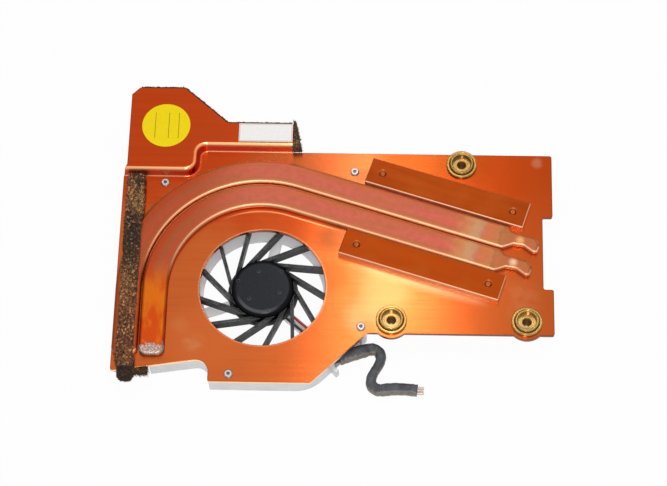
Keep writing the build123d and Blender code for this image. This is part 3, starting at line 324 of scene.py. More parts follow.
class Surface:
    """A node material, with short ways to add its nodes. Its lengths are in millimetres."""

    def __init__(self, name, **sockets):
        self.material = bpy.data.materials.new(name)
        self.material.use_nodes = True
        self.tree = self.material.node_tree
        self.shader = self.tree.nodes["Principled BSDF"]
        for key, value in sockets.items():
            self.shader.inputs[key.replace("_", " ").title()].default_value = value
        place = self.node("ShaderNodeTexCoord")
        scaled = self.vector("SCALE", place.outputs["Object"])
        scaled.inputs["Scale"].default_value = 1000
        self.place = scaled.outputs[0]
        axes = self.node("ShaderNodeSeparateXYZ", inputs={0: self.place})
        self.x, self.y, self.z = axes.outputs

    def node(self, kind, inputs=None, **settings):
        """Add a node, with values or links on its inputs."""
        node = self.tree.nodes.new(kind)
        for key, value in settings.items():
            setattr(node, key, value)
        for key, value in (inputs or {}).items():
            if isinstance(value, bpy.types.NodeSocket):
                self.tree.links.new(value, node.inputs[key])
            else:
                node.inputs[key].default_value = value
        return node

    def noise(self, per_mm, detail=3.0, turn=0.0, place=None):
        """Noise with this many waves per millimetre along X, Y and Z, in axes turned about Z."""
        turned = self.node(
            "ShaderNodeVectorRotate",
            inputs={"Vector": place or self.place, "Angle": radians(turn)},
            rotation_type="Z_AXIS",
        )
        scaled = self.vector("MULTIPLY", turned.outputs[0], per_mm)
        inputs = {"Vector": scaled.outputs[0], "Scale": 1.0, "Detail": detail}
        return self.node("ShaderNodeTexNoise", inputs=inputs).outputs[0]

    def span(self, value, low, high, start=0.0, end=1.0):
        """Value from start to end, smoothly, as the input goes from low to high."""
        node = self.node(
            "ShaderNodeMapRange",
            inputs={"Value": value, "From Min": low, "From Max": high, "To Min": start, "To Max": end},
            interpolation_type="SMOOTHSTEP",
        )
        return node.outputs[0]

    def math(self, operation, first, second=0.0):
        """One sum on two values."""
        return self.node("ShaderNodeMath", inputs={0: first, 1: second}, operation=operation).outputs[0]

    def plus(self, first, second):
        """Sum of two values."""
        return self.math("ADD", first, second)

    def minus(self, first, second):
        """First value less the second."""
        return self.math("SUBTRACT", first, second)

    def times(self, first, second):
        """Product of two values."""
        return self.math("MULTIPLY", first, second)

    def most(self, first, second):
        """Larger of two values."""
        return self.math("MAXIMUM", first, second)

    def least(self, first, second):
        """Smaller of two values."""
        return self.math("MINIMUM", first, second)

    def absolute(self, value):
        """Value without its sign."""
        return self.math("ABSOLUTE", value)

    def band(self, value, rise, fall):
        """Value that goes from 0 to 1 over one range of the input and back over another."""
        return self.times(self.span(value, *rise), self.span(value, *fall))

    def vector(self, operation, first, second=(0, 0, 0)):
        """Node for one sum on two vectors."""
        return self.node("ShaderNodeVectorMath", inputs={0: first, 1: second}, operation=operation)

    def mix(self, factor, first, second):
        """Colour between two colours."""
        node = self.node("ShaderNodeMix", data_type="RGBA")
        for index, value in ((0, factor), (6, first), (7, second)):
            if isinstance(value, bpy.types.NodeSocket):
                self.tree.links.new(value, node.inputs[index])
            else:
                node.inputs[index].default_value = value if index == 0 else (*value, 1)
        return node.outputs[2]

    def ramp(self, factor, *stops):
        """Colour that runs through stops of (place, colour)."""
        node = self.node("ShaderNodeValToRGB", inputs={0: factor})
        elements = node.color_ramp.elements
        while len(elements) < len(stops):
            elements.new(1.0)
        for element, (position, colour) in zip(elements, stops):
            element.position = position
            element.color = (*colour, 1)
        return node.outputs[0]

    def outward(self, centre):
        """Plan vector from a vertical axis."""
        offset = self.vector("SUBTRACT", self.place, (*centre, 0))
        return self.vector("MULTIPLY", offset.outputs[0], (1, 1, 0)).outputs[0]

    def distance(self, centre):
        """Plan distance from a vertical axis."""
        return self.vector("LENGTH", self.outward(centre)).outputs["Value"]

    def along(self, start, angle):
        """Distance from a plan point, along a direction."""
        heading = (cos(radians(angle)), sin(radians(angle)))
        shift = start[0] * heading[0] + start[1] * heading[1]
        run = self.vector("DOT_PRODUCT", self.place, (*heading, 0))
        return self.minus(run.outputs["Value"], shift)

    def bend_distance(self):
        """Distance outward from the pipes' bend: from its centre on the arc, square to the straight runs."""
        beyond = self.most(self.along(BEND_CENTRE, BRANCH_ANGLE), 0.0)
        below = self.least(self.minus(self.y, BEND_CENTRE[1]), 0.0)
        square = self.math("POWER", self.distance(BEND_CENTRE), 2.0)
        for part in (beyond, below):
            square = self.minus(square, self.times(part, part))
        return self.math("SQRT", square)

    def facing(self, heading):
        """How far the surface faces a direction, from -1 to 1."""
        normal = self.node("ShaderNodeNewGeometry").outputs["Normal"]
        return self.vector("DOT_PRODUCT", normal, heading).outputs["Value"]

    def edges(self, radius):
        """Value that is 1 on sharp edges, where a rounded normal leaves the surface's own."""
        bevel = self.node("ShaderNodeBevel", inputs={"Radius": radius * MM}, samples=4)
        return self.span(self.facing(bevel.outputs[0]), 0.99, 0.86)

    def set(self, **sockets):
        """Link outputs to the shader's inputs."""
        for key, value in sockets.items():
            self.tree.links.new(value, self.shader.inputs[key.replace("_", " ").title()])

    def bump(self, height, depth, edge=0.0):
        """Raise the surface by a height from 0 to 1 times depth, and round its edges by a radius."""
        inputs = {"Height": height, "Strength": 1.0, "Distance": depth * MM}
        if edge:
            bevel = self.node("ShaderNodeBevel", inputs={"Radius": edge * MM}, samples=4)
            inputs["Normal"] = bevel.outputs[0]
        self.set(Normal=self.node("ShaderNodeBump", inputs=inputs).outputs[0])


def plate_tone(surface, grain, cloud):
    """Plate's own tone: redder towards the duct and deeper to the right."""
    front = surface.mix(grain, (0.50, 0.098, 0.021), (0.56, 0.122, 0.028))
    rear = surface.mix(grain, (0.46, 0.047, 0.007), (0.51, 0.058, 0.010))
    redder = surface.span(surface.plus(surface.y, surface.span(cloud, 0.3, 0.7, -8.0, 8.0)), 10.0, 40.0)
    colour = surface.mix(redder, front, rear)
    colour = surface.mix(surface.span(cloud, 0.50, 0.75, 0.0, 0.30), colour, (0.42, 0.060, 0.013))
    right = surface.mix(surface.span(surface.y, 0.0, 24.0), (0.40, 0.072, 0.013), (0.40, 0.052, 0.006))
    return surface.mix(surface.span(surface.x, 42.0, 72.0, 0.0, 0.7), colour, right)


def plate_painted_light(surface, colour):
    """Painted soft light on the plate behind the pipes, and a painted reflection of the bar on the plate in
    front of it.
    """
    # painted soft light on the plate behind the pipes
    glow = surface.band(surface.x, (-16.0, 4.0), (42.0, 32.0))
    glow = surface.times(glow, surface.span(surface.y, 30.0, 37.0, 0.0, 0.85))
    glow = surface.times(glow, surface.span(surface.z, PLATE_TOP + 0.3, PLATE_TOP + 0.1))
    colour = surface.mix(glow, colour, (0.40, 0.092, 0.025))
    # painted reflection of the lower bar on the plate in front of it
    bar_reflection = surface.minus(BEND_RADIUS - BAR_MIDDLE - BAR_HALF, surface.bend_distance())
    bar_reflection = surface.band(bar_reflection, (4.5, 0.2), (-0.6, -0.2))
    run = surface.along(BRANCH_START, BRANCH_ANGLE)
    bar_reflection = surface.times(bar_reflection, surface.span(run, 22.0, 36.0, 0.0, 0.6))
    bar_reflection = surface.times(bar_reflection, surface.span(run, BAR_END - 1.0, BAR_END - 8.0))
    return surface.mix(bar_reflection, colour, (0.60, 0.260, 0.130))


def plate_marks(surface, colour):
    """Painted light and shade, slow changes of tone and pale stains."""
    # painted light and shade on the plate, with slow changes of its tone
    for centre, radius, strength, tint in PLATE_SHADING_AND_TONES:
        near = surface.span(surface.distance(centre), radius, 0.3 * radius, 0.0, strength)
        colour = surface.mix(near, colour, tint)
    uneven = surface.noise((0.25, 0.35, 0.35), 3.0)
    for centre, radius, strength, stain in PLATE_STAINS:
        near = surface.span(surface.distance(centre), radius, 0.25 * radius)
        smudge = surface.times(near, surface.span(uneven, 0.35, 0.60, 0.2 * strength, strength))
        colour = surface.mix(smudge, colour, stain)
    return colour


def duct_painted_highlights(surface, colour):
    """Painted highlights along the duct's foot and top bends, and painted light on its slope. Also gives
    where the bends are.
    """
    upper = surface.band(surface.z, (DUCT_TOP - 1.8, DUCT_TOP - 0.8), (DUCT_TOP - 0.005, DUCT_TOP - 0.08))
    lower = surface.band(surface.z, (PLATE_TOP + 0.03, PLATE_TOP + 0.15), (PLATE_TOP + 0.9, PLATE_TOP + 0.4))
    sloping = surface.span(surface.facing((0, 0, 1)), 0.15, 0.45)
    painted_slope_light = surface.band(surface.z, (PLATE_TOP + 0.25, PLATE_TOP + 0.8), (DUCT_TOP - 0.7, DUCT_TOP - 1.7))
    painted_slope_light = surface.times(painted_slope_light, surface.span(surface.facing((0, 0, 1)), 0.99, 0.95))
    # painted light on the duct's slope
    colour = surface.mix(surface.times(painted_slope_light, 0.9), colour, (0.95, 0.170, 0.080))
    # painted highlights on the bends
    bend = surface.times(surface.most(upper, lower), sloping)
    return surface.mix(bend, colour, (0.98, 0.480, 0.225)), bend


def plate_edges(surface, colour):
    """Solder between the pipes, painted shade on the edges, a painted highlight on the opening's rim, and
    painted light and shade on the front-facing edges.
    """
    seam = surface.minus(surface.bend_distance(), BEND_RADIUS - PIPE_PITCH - 1.0)
    solder = surface.span(surface.absolute(seam), 0.40, 0.10)
    solder = surface.times(solder, surface.span(surface.x, -16.0, -4.0))
    solder = surface.times(solder, surface.span(surface.x, 26.0, 16.0))
    colour = surface.mix(surface.times(solder, 0.8), colour, (0.78, 0.340, 0.140))
    # painted shade on the plate's edges, stronger to the right
    edge_shade = surface.times(surface.edges(0.6), surface.span(surface.x, 44.0, 66.0, 0.6, 0.95))
    colour = surface.mix(edge_shade, colour, (0.17, 0.040, 0.012))
    opening = surface.distance((0, 0))
    # painted highlight on the top of the opening's rim
    rim = surface.span(opening, OPENING_RADIUS - 0.05, OPENING_RADIUS + 0.1)
    rim = surface.times(rim, surface.span(opening, OPENING_RADIUS + 0.5, OPENING_RADIUS + 0.2))
    rim = surface.times(rim, surface.span(surface.facing((0, 0, 1)), 0.7, 0.9, 0.0, 0.45))
    colour = surface.mix(rim, colour, (0.80, 0.360, 0.180))
    # painted highlight on the front-facing edges left of the fan, painted shade on them to the right and on
    # the opening's wall
    front_edge_light_and_shade = surface.span(surface.facing((0, -1, 0)), 0.5, 0.8)
    front_edge_light_and_shade = surface.times(front_edge_light_and_shade, surface.span(surface.z, PLATE_TOP + 0.1, PLATE_TOP))
    beyond = surface.span(opening, OPENING_RADIUS + 0.5, OPENING_RADIUS + 1.5)
    highlit = surface.times(surface.span(surface.x, 40.0, 34.0), beyond)
    return surface.mix(front_edge_light_and_shade, colour, surface.mix(highlit, (0.20, 0.062, 0.024), (0.98, 0.700, 0.420)))


def cover_copper():
    """Brushed copper of the plate, with grain along X, redder on the duct, with a few stains and with
    painted light and shade.
    """
    surface = Surface("brushed_copper", Metallic=1.0, Anisotropic=0.97)
    fine = surface.noise((0.045, 7.0, 7.0), 3.0)
    broad = surface.noise((0.010, 0.8, 0.8), 2.0)
    cloud = surface.noise((0.05, 0.05, 0.05), 4.0)
    streaks = surface.plus(fine, surface.times(broad, 0.5))
    grain = surface.span(streaks, 0.50, 1.00)
    colour = plate_tone(surface, grain, cloud)
    colour = plate_painted_light(surface, colour)
    colour = plate_marks(surface, colour)
    colour, bend = duct_painted_highlights(surface, colour)
    colour = plate_edges(surface, colour)
    brushed = surface.span(grain, 0.0, 1.0, 0.25, 0.23)
    rough = surface.plus(brushed, surface.times(bend, 0.10))
    surface.set(Base_Color=colour, Roughness=rough)
    surface.set(Tangent=surface.node("ShaderNodeCombineXYZ", inputs={"Y": 1.0}).outputs[0])
    surface.bump(fine, 0.003, edge=0.35)
    return surface.material


def pipe_tone(surface, mottle, fine, across, run):
    """Pipes' own tone: streaks along them, a browner far side, a painted highlight along the near lip and a
    dark left bend.
    """
    cloud = surface.noise((0.09, 0.09, 0.09), 2.0)
    tone = surface.span(surface.plus(mottle, fine), 0.75, 1.25)
    colour = surface.mix(tone, (0.41, 0.096, 0.058), (0.49, 0.118, 0.075))
    far = surface.times(surface.span(across, 5.0, 7.6), surface.span(cloud, 0.35, 0.65, 0.5, 1.0))
    colour = surface.mix(far, colour, (0.42, 0.108, 0.036))
    lengthwise = surface.node("ShaderNodeCombineXYZ", inputs={"X": run, "Y": across})
    streak = surface.noise((0.05, 0.80, 1.0), 4.0, place=lengthwise.outputs[0])
    colour = surface.mix(surface.span(streak, 0.50, 0.66, 0.0, 0.8), colour, (0.38, 0.118, 0.044))
    colour = surface.mix(surface.span(streak, 0.46, 0.32, 0.0, 0.6), colour, (0.52, 0.108, 0.072))
    near = surface.times(surface.span(across, 3.2, 1.2), surface.span(mottle, 0.3, 0.7, 0.5, 1.0))
    colour = surface.mix(near, colour, (0.37, 0.115, 0.050))
    # painted highlight along the pipes' near lip, where it faces the light
    lit = surface.most(surface.span(surface.y, 6.0, 26.0), surface.span(surface.x, 8.0, 20.0))
    lip_highlight = surface.times(surface.span(across, 1.9, 0.9), lit)
    colour = surface.mix(surface.times(lip_highlight, 0.5), colour, (0.50, 0.200, 0.085))
    left = surface.times(surface.span(surface.x, -2.0, -27.0), surface.span(across, 3.6, 7.0, 0.75, 1.0))
    bend = surface.mix(surface.span(streak, 0.40, 0.62), (0.36, 0.052, 0.016), (0.28, 0.066, 0.021))
    return surface.mix(left, colour, bend)


def pipe_leg(surface, colour):
    """Orange of the pipes' left leg, in long flames."""
    leg = surface.times(surface.span(surface.y, 10.0, -4.0), surface.span(surface.x, -41.0, -38.0))
    flame = surface.noise((0.30, 0.12, 0.30), 3.0)
    flame = surface.plus(flame, surface.span(surface.y, -20.0, -4.0, -0.14, 0.08))
    orange = surface.mix(surface.span(flame, 0.38, 0.62), (0.50, 0.062, 0.008), (0.55, 0.125, 0.009))
    return surface.mix(leg, colour, orange)


def pipe_tips(surface, colour, mottle, run):
    """Heat tints across the pipes, painted shade in the crease at their neck and on their tips, and a
    painted highlight on each tip.
    """
    wavering = surface.plus(run, surface.span(mottle, 0.3, 0.7, -0.9, 0.9))
    for start, peak, stop, strength, tint in PIPE_TINTS:
        rise = surface.span(wavering, start, peak)
        fall = surface.span(wavering, stop, peak)
        band = surface.times(surface.times(rise, fall), strength)
        colour = surface.mix(band, colour, tint)
    # painted shade on the pipes' tips, deeper at their rounded edges
    tip = surface.span(run, 69.0, 72.0)
    colour = surface.mix(surface.times(tip, 0.75), colour, (0.38, 0.128, 0.040))
    colour = surface.mix(surface.times(tip, surface.edges(1.1)), colour, (0.27, 0.088, 0.026))
    # painted highlight on each tip
    for centre, strength, glint in TIP_HIGHLIGHTS:
        near = surface.span(surface.distance(centre), 2.0, 0.2, 0.0, strength)
        colour = surface.mix(near, colour, glint)
    return colour


def pipe_painted_flank_light(surface, colour):
    """Painted highlights on the pipes' near flanks and painted light on their far flanks."""
    # painted highlight on the near flanks
    side = surface.span(surface.z, PIPE_TOP - 0.02, PIPE_TOP - 0.2)
    side = surface.times(side, surface.span(surface.facing((0, -1, 0)), 0.05, 0.30))
    outer = surface.span(surface.bend_distance(), BEND_RADIUS - 0.5, BEND_RADIUS + 0.5, 0.85, 1.0)
    colour = surface.mix(surface.times(side, outer), colour, (0.92, 0.54, 0.30))
    # painted light on the far flanks
    far_flank_light = surface.span(surface.z, PIPE_TOP - 0.02, PIPE_TOP - 0.3)
    far_flank_light = surface.times(far_flank_light, surface.span(surface.facing((0, 1, 0)), 0.05, 0.30))
    return surface.mix(far_flank_light, colour, (0.80, 0.26, 0.10))


def pipe_ends(surface, colour, mottle, fine):
    """Solder on the inner pipe's lower end, and painted shade on the outer pipe's side beside the foam."""
    low = surface.plus(surface.y, surface.span(mottle, 0.3, 0.7, -1.6, 1.6))
    solder = surface.times(surface.span(low, -20.6, -21.8), surface.span(surface.x, -39.1, -38.9))
    flecks = surface.mix(surface.span(fine, 0.48, 0.62), (0.25, 0.215, 0.185), (0.62, 0.57, 0.52))
    colour = surface.mix(surface.times(solder, 0.85), colour, flecks)
    # painted shade on the outer pipe's side beside the foam
    painted_shade = surface.times(surface.span(surface.x, -40.6, -42.4), surface.span(surface.y, 24.0, 2.0, 0.0, 0.9))
    return surface.mix(painted_shade, colour, (0.29, 0.058, 0.017))


def pipe_copper():
    """Tarnished copper of the heat pipes, with heat tints near the tips and solder at the lower end."""
    surface = Surface("pipe_copper", Metallic=1.0)
    mottle = surface.noise((0.5, 0.5, 0.5), 4.0)
    fine = surface.noise((2.6, 2.6, 2.6), 3.0)
    across = surface.minus(surface.bend_distance(), BEND_RADIUS - 2 * PIPE_PITCH)
    across = surface.math("MODULO", across, PIPE_PITCH)
    run = surface.along(BRANCH_START, BRANCH_ANGLE)
    colour = pipe_tone(surface, mottle, fine, across, run)
    colour = pipe_leg(surface, colour)
    colour = pipe_tips(surface, colour, mottle, run)
    colour = pipe_painted_flank_light(surface, colour)
    colour = pipe_ends(surface, colour, mottle, fine)
    surface.set(Base_Color=colour, Roughness=surface.span(fine, 0.3, 0.7, 0.42, 0.54))
    surface.bump(fine, 0.012)
    return surface.material


def bar_copper():
    """Drawn copper of the bars, darker than the plate, with grain along their length, painted light on their
    side walls and countersinks, and painted highlights on their front chamfers.
    """
    surface = Surface("bar_copper", Metallic=1.0, Anisotropic=0.6)
    fine = surface.noise((0.06, 6.0, 6.0), 3.0, turn=-BRANCH_ANGLE)
    broad = surface.noise((0.02, 0.25, 0.25), 2.0, turn=-BRANCH_ANGLE)
    cloud = surface.noise((0.10, 0.10, 0.10), 3.0)
    grain = surface.span(surface.plus(fine, broad), 0.70, 1.30)
    colour = surface.mix(grain, (0.242, 0.035, 0.0035), (0.280, 0.044, 0.005))
    square = surface.minus(surface.bend_distance(), BEND_RADIUS)
    colour = surface.mix(surface.span(square, 0.0, -1.0, 0.0, 0.8), colour, (0.300, 0.043, 0.004))
    colour = surface.mix(surface.span(cloud, 0.45, 0.70, 0.0, 0.5), colour, (0.300, 0.060, 0.009))
    upright = surface.facing((0, 0, 1))
    # painted light on the bars' side walls
    colour = surface.mix(surface.span(upright, 0.40, 0.20), colour, (0.98, 0.66, 0.42))
    # painted highlight on the front chamfers
    bevel = surface.band(upright, (0.97, 0.85), (0.30, 0.55))
    bevel = surface.times(bevel, surface.span(surface.facing((0.4, -0.9, 0)), 0.0, 0.3, 0.15, 1.0))
    aside = surface.absolute(surface.minus(surface.absolute(square), BAR_MIDDLE))
    end = surface.span(surface.along(BRANCH_START, BRANCH_ANGLE), BAR_END - 2.0, BAR_END - 1.0)
    rim = surface.most(surface.span(aside, 2.0, 2.5), end)
    # painted light in the countersinks round the pins
    countersink_light = surface.times(surface.span(upright, 0.97, 0.85), surface.minus(1.0, rim))
    colour = surface.mix(countersink_light, colour, (0.62, 0.16, 0.045))
    bevel = surface.times(bevel, rim)
    colour = surface.mix(bevel, colour, (0.94, 0.56, 0.33))
    surface.set(Base_Color=colour, Roughness=surface.span(grain, 0.0, 1.0, 0.46, 0.42))
    slant = radians(BRANCH_ANGLE)
    across = surface.node("ShaderNodeCombineXYZ", inputs={"X": -sin(slant), "Y": cos(slant)})
    surface.set(Tangent=across.outputs[0])
    surface.bump(fine, 0.002)
    return surface.material


def plain_metal(name, dark, light, roughness=0.35):
    """Satin metal with a fine grain and slow changes of tone."""
    surface = Surface(name, Metallic=1.0)
    fine = surface.noise((3.0, 3.0, 3.0), 3.0)
    cloud = surface.noise((0.15, 0.15, 0.15), 3.0)
    tone = surface.span(surface.plus(fine, cloud), 0.7, 1.3)
    surface.set(
        Base_Color=surface.mix(tone, dark, light),
        Roughness=surface.span(fine, 0.3, 0.7, roughness - 0.06, roughness + 0.06),
    )
    surface.bump(fine, 0.004, edge=0.15)
    return surface.material


def housing_alloy():
    """Grey cast alloy of the housing, matt inside and with painted light there."""
    surface = Surface("housing_alloy")
    fine = surface.noise((3.0, 3.0, 3.0), 3.0)
    cloud = surface.noise((0.15, 0.15, 0.15), 3.0)
    tone = surface.span(surface.plus(fine, cloud), 0.7, 1.3)
    inside = surface.span(surface.distance((0, 0)), HOUSING_INSIDE + 0.5, HOUSING_INSIDE - 0.5)
    colour = surface.mix(tone, (0.66, 0.66, 0.67), (0.76, 0.76, 0.77))
    # painted light on the housing's inside, under the cover
    colour = surface.mix(inside, colour, (0.95, 0.95, 0.97))
    surface.set(
        Base_Color=colour,
        Metallic=surface.minus(0.55, surface.times(inside, 0.55)),
        Roughness=surface.span(fine, 0.3, 0.7, 0.40, 0.52),
    )
    surface.bump(fine, 0.004, edge=0.15)
    return surface.material


def turned_brass(name, centre, painted_shade):
    """Turned brass with tool marks round an axis, painted light on the collar's inner wall and painted light
    and shade in the bore, darkened by a share of painted shade from 0 to 1.
    """
    surface = Surface(name, Metallic=1.0, Anisotropic=0.8)
    radius = surface.distance(centre)
    rings = surface.node("ShaderNodeCombineXYZ", inputs={"X": radius, "Y": surface.z})
    marks = surface.noise((5.0, 5.0, 5.0), 2.0, place=rings.outputs[0])
    stain = surface.noise((0.5, 0.5, 0.5), 3.0)
    colour = surface.mix(surface.span(marks, 0.35, 0.65), (0.33, 0.190, 0.052), (0.52, 0.335, 0.115))
    colour = surface.mix(surface.span(stain, 0.5, 0.8, 0.0, 0.5), colour, (0.22, 0.110, 0.028))
    # painted shade over the whole bush, by the given share
    colour = surface.mix(painted_shade, colour, (0.13, 0.050, 0.010))
    # painted light on the collar's inner wall, in the gap round the sleeve
    gap_wall_light = surface.span(radius, BUSH_WALL_INNER, BUSH_WALL_INNER + 0.12)
    gap_wall_light = surface.times(gap_wall_light, surface.span(radius, BUSH_WALL_OUTER, BUSH_WALL_OUTER - 0.05))
    colour = surface.mix(surface.times(gap_wall_light, 0.8), colour, (0.86, 0.62, 0.28))
    # painted light and shade in the bore, darker with depth
    bore = surface.span(radius, BUSH_BORE + 0.25, BUSH_BORE)
    bore_shade = surface.mix(surface.span(surface.z, 6.0, 9.5), (0.16, 0.060, 0.012), (0.60, 0.260, 0.060))
    colour = surface.mix(surface.times(bore, 0.9), colour, bore_shade)
    rough = surface.most(surface.span(marks, 0.3, 0.7, 0.22, 0.34), surface.times(bore, 0.6))
    surface.set(Base_Color=colour, Roughness=rough)
    outward = surface.outward(centre)
    rising = surface.node("ShaderNodeCombineXYZ", inputs={"Z": radius})
    surface.set(Tangent=surface.vector("ADD", outward, rising.outputs[0]).outputs[0])
    surface.bump(marks, 0.004, edge=0.12)
    return surface.material


def rivet_alloy():
    """Grey rivet metal, with painted shade in each head's dimple."""
    surface = Surface("rivet_alloy", Metallic=1.0)
    fine = surface.noise((2.0, 2.0, 2.0), 3.0)
    nearest = surface.distance(RIVET_PLACES[0])
    for centre in RIVET_PLACES[1:]:
        nearest = surface.least(nearest, surface.distance(centre))
    colour = surface.mix(surface.span(fine, 0.3, 0.7), (0.30, 0.30, 0.30), (0.47, 0.47, 0.46))
    # painted shade in each head's dimple
    dimple_shade = surface.span(nearest, RIVET_DIMPLE + 0.12, RIVET_DIMPLE - 0.10)
    colour = surface.mix(dimple_shade, colour, (0.09, 0.08, 0.08))
    surface.set(Base_Color=colour, Roughness=surface.span(fine, 0.3, 0.7, 0.26, 0.40))
    surface.bump(fine, 0.01, edge=0.15)
    return surface.material


def fan_plastic():
    """Black moulded plastic of the impeller, with grey dust on the blades, painted shade on the hub's
    shoulder, a painted highlight on its front and painted highlights on sharp edges.
    """
    surface = Surface("fan_plastic")
    surface.shader.inputs["Specular IOR Level"].default_value = 0.09
    fine = surface.noise((2.5, 2.5, 2.5), 3.0)
    cloud = surface.noise((0.3, 0.3, 0.3), 3.0)
    radius = surface.distance((0, 0))
    dust = surface.span(radius, BLADE_START, BLADE_START + 1.6)
    dust = surface.times(dust, surface.span(cloud, 0.30, 0.70, 0.35, 1.0))
    black = surface.mix(surface.span(fine, 0.3, 0.7), (0.015, 0.017, 0.021), (0.021, 0.024, 0.029))
    # painted shade on the hub's shoulder
    shoulder_shade = surface.span(radius, HUB_SHOULDER - 0.1, HUB_SHOULDER + 0.5)
    black = surface.mix(shoulder_shade, black, (0.003, 0.003, 0.004))
    # painted highlight on the front of the shoulder
    shoulder_highlight = surface.span(radius, HUB_SHOULDER - 0.8, HUB_SHOULDER - 0.2)
    shoulder_highlight = surface.times(shoulder_highlight, surface.span(radius, HUB_SHOULDER + 0.8, HUB_SHOULDER + 0.2))
    towards = surface.math("DIVIDE", surface.along((0, 0), HUB_HIGHLIGHT_ANGLE), radius)
    shoulder_highlight = surface.times(shoulder_highlight, surface.span(towards, 0.45, 0.95))
    black = surface.mix(shoulder_highlight, black, (0.085, 0.090, 0.096))
    # painted highlights on sharp edges
    black = surface.mix(surface.times(surface.edges(0.2), 0.9), black, (0.26, 0.26, 0.27))
    grey = surface.mix(surface.span(fine, 0.35, 0.65), (0.050, 0.053, 0.054), (0.135, 0.138, 0.136))
    colour = surface.mix(dust, black, grey)
    surface.set(Base_Color=colour, Roughness=surface.plus(surface.times(dust, 0.35), 0.20))
    surface.bump(fine, 0.003, edge=0.2)
    return surface.material


def plain_plastic(name, dark, light, roughness):
    """Plastic or lacquer with a fine uneven tone."""
    surface = Surface(name)
    fine = surface.noise((1.5, 1.5, 1.5), 3.0)
    surface.set(
        Base_Color=surface.mix(surface.span(fine, 0.3, 0.7), dark, light),
        Roughness=surface.span(fine, 0.3, 0.7, roughness - 0.08, roughness + 0.08),
    )
    surface.bump(fine, 0.01)
    return surface.material


def foam_fibre():
    """Worn open foam: black and brown grains with gold specks."""
    surface = Surface("worn_foam", Roughness=0.9)
    grains = surface.noise((2.3, 2.3, 2.3), 4.0)
    patch = surface.noise((0.12, 0.06, 0.12), 3.0)
    dark = surface.span(patch, 0.36, 0.66, -0.12, 0.08)
    golden = surface.band(surface.y, (21.0, 28.0), (36.0, 32.0))
    dark = surface.plus(dark, surface.times(golden, 0.05))
    black = surface.band(surface.y, (4.0, 9.0), (24.0, 18.0))
    dark = surface.minus(dark, surface.times(black, 0.08))
    colour = surface.ramp(
        surface.plus(grains, dark),
        (0.30, (0.016, 0.011, 0.008)),
        (0.46, (0.085, 0.036, 0.015)),
        (0.60, (0.220, 0.100, 0.036)),
        (0.74, (0.560, 0.320, 0.110)),
        (0.82, (0.820, 0.620, 0.380)),
    )
    brown = surface.times(surface.span(surface.y, 4.0, -8.0), surface.span(grains, 0.40, 0.56, 0.25, 0.75))
    colour = surface.mix(brown, colour, (0.260, 0.085, 0.028))
    specks = surface.noise((1.45, 1.15, 1.45), 5.0)
    gold = surface.minus(surface.span(specks, 0.56, 0.65, 0.0, 0.90), surface.times(black, 0.35))
    colour = surface.mix(surface.most(gold, 0.0), colour, (0.700, 0.330, 0.125))
    colour = surface.mix(surface.span(specks, 0.49, 0.38, 0.0, 0.75), colour, (0.022, 0.013, 0.009))
    frayed = surface.span(surface.y, LOOSE_END / MM + 3.0, LOOSE_END / MM - 1.0, 0.0, 0.8)
    colour = surface.mix(frayed, colour, (0.052, 0.040, 0.032))
    surface.set(Base_Color=colour)
    surface.bump(grains, 0.15)
    return surface.material


def dark_fibre():
    """Black foam that is left in crumbs along the duct."""
    surface = Surface("crumbling_foam", Roughness=0.92)
    grains = surface.noise((2.0, 2.0, 2.0), 4.0)
    colour = surface.ramp(
        grains,
        (0.36, (0.016, 0.011, 0.008)),
        (0.52, (0.090, 0.046, 0.022)),
        (0.68, (0.320, 0.165, 0.070)),
    )
    surface.set(Base_Color=colour)
    surface.bump(grains, 0.15)
    return surface.material


def yellow_paper():
    """Yellow sticker with a few ruled lines and nothing written on it."""
    surface = Surface("yellow_paper", Roughness=0.6)
    surface.shader.inputs["Specular IOR Level"].default_value = 0.15
    fine = surface.noise((1.2, 1.2, 1.2), 3.0)
    colour = surface.mix(surface.span(fine, 0.3, 0.7), (0.92, 0.69, 0.004), (0.96, 0.74, 0.005))
    ruled = None
    for step in RULED_LINES:
        aside = surface.absolute(surface.minus(surface.x, ROUND_LABEL_CENTRE[0] + step))
        line = surface.span(aside, RULED_HALF_WIDTH + 0.1, RULED_HALF_WIDTH)
        ruled = line if ruled is None else surface.most(ruled, line)
    inside = surface.absolute(surface.minus(surface.y, ROUND_LABEL_CENTRE[1]))
    ruled = surface.times(ruled, surface.span(inside, RULED_HALF_LENGTH + 0.4, RULED_HALF_LENGTH))
    colour = surface.mix(surface.times(ruled, 0.75), colour, (0.10, 0.085, 0.01))
    surface.set(Base_Color=colour)
    surface.bump(fine, 0.01)
    return surface.material


def white_paper():
    """White label, left blank, with a thin dark line near its edge."""
    surface = Surface("white_paper", Roughness=0.5)
    fine = surface.noise((1.2, 1.2, 1.2), 3.0)
    (left, front), (right, rear) = WHITE_LABEL_BOX
    colour = surface.mix(surface.span(fine, 0.3, 0.7), (0.92, 0.90, 0.87), (0.95, 0.94, 0.92))
    inset_x = surface.least(surface.minus(surface.x, left), surface.minus(right, surface.x))
    inset_y = surface.least(surface.minus(surface.y, front), surface.minus(rear, surface.y))
    inset = surface.least(inset_x, inset_y)
    border = surface.band(inset, (0.10, 0.20), (0.45, 0.32))
    colour = surface.mix(surface.times(border, 0.45), colour, (0.12, 0.11, 0.11))
    surface.set(Base_Color=colour)
    surface.bump(fine, 0.01)
    return surface.material


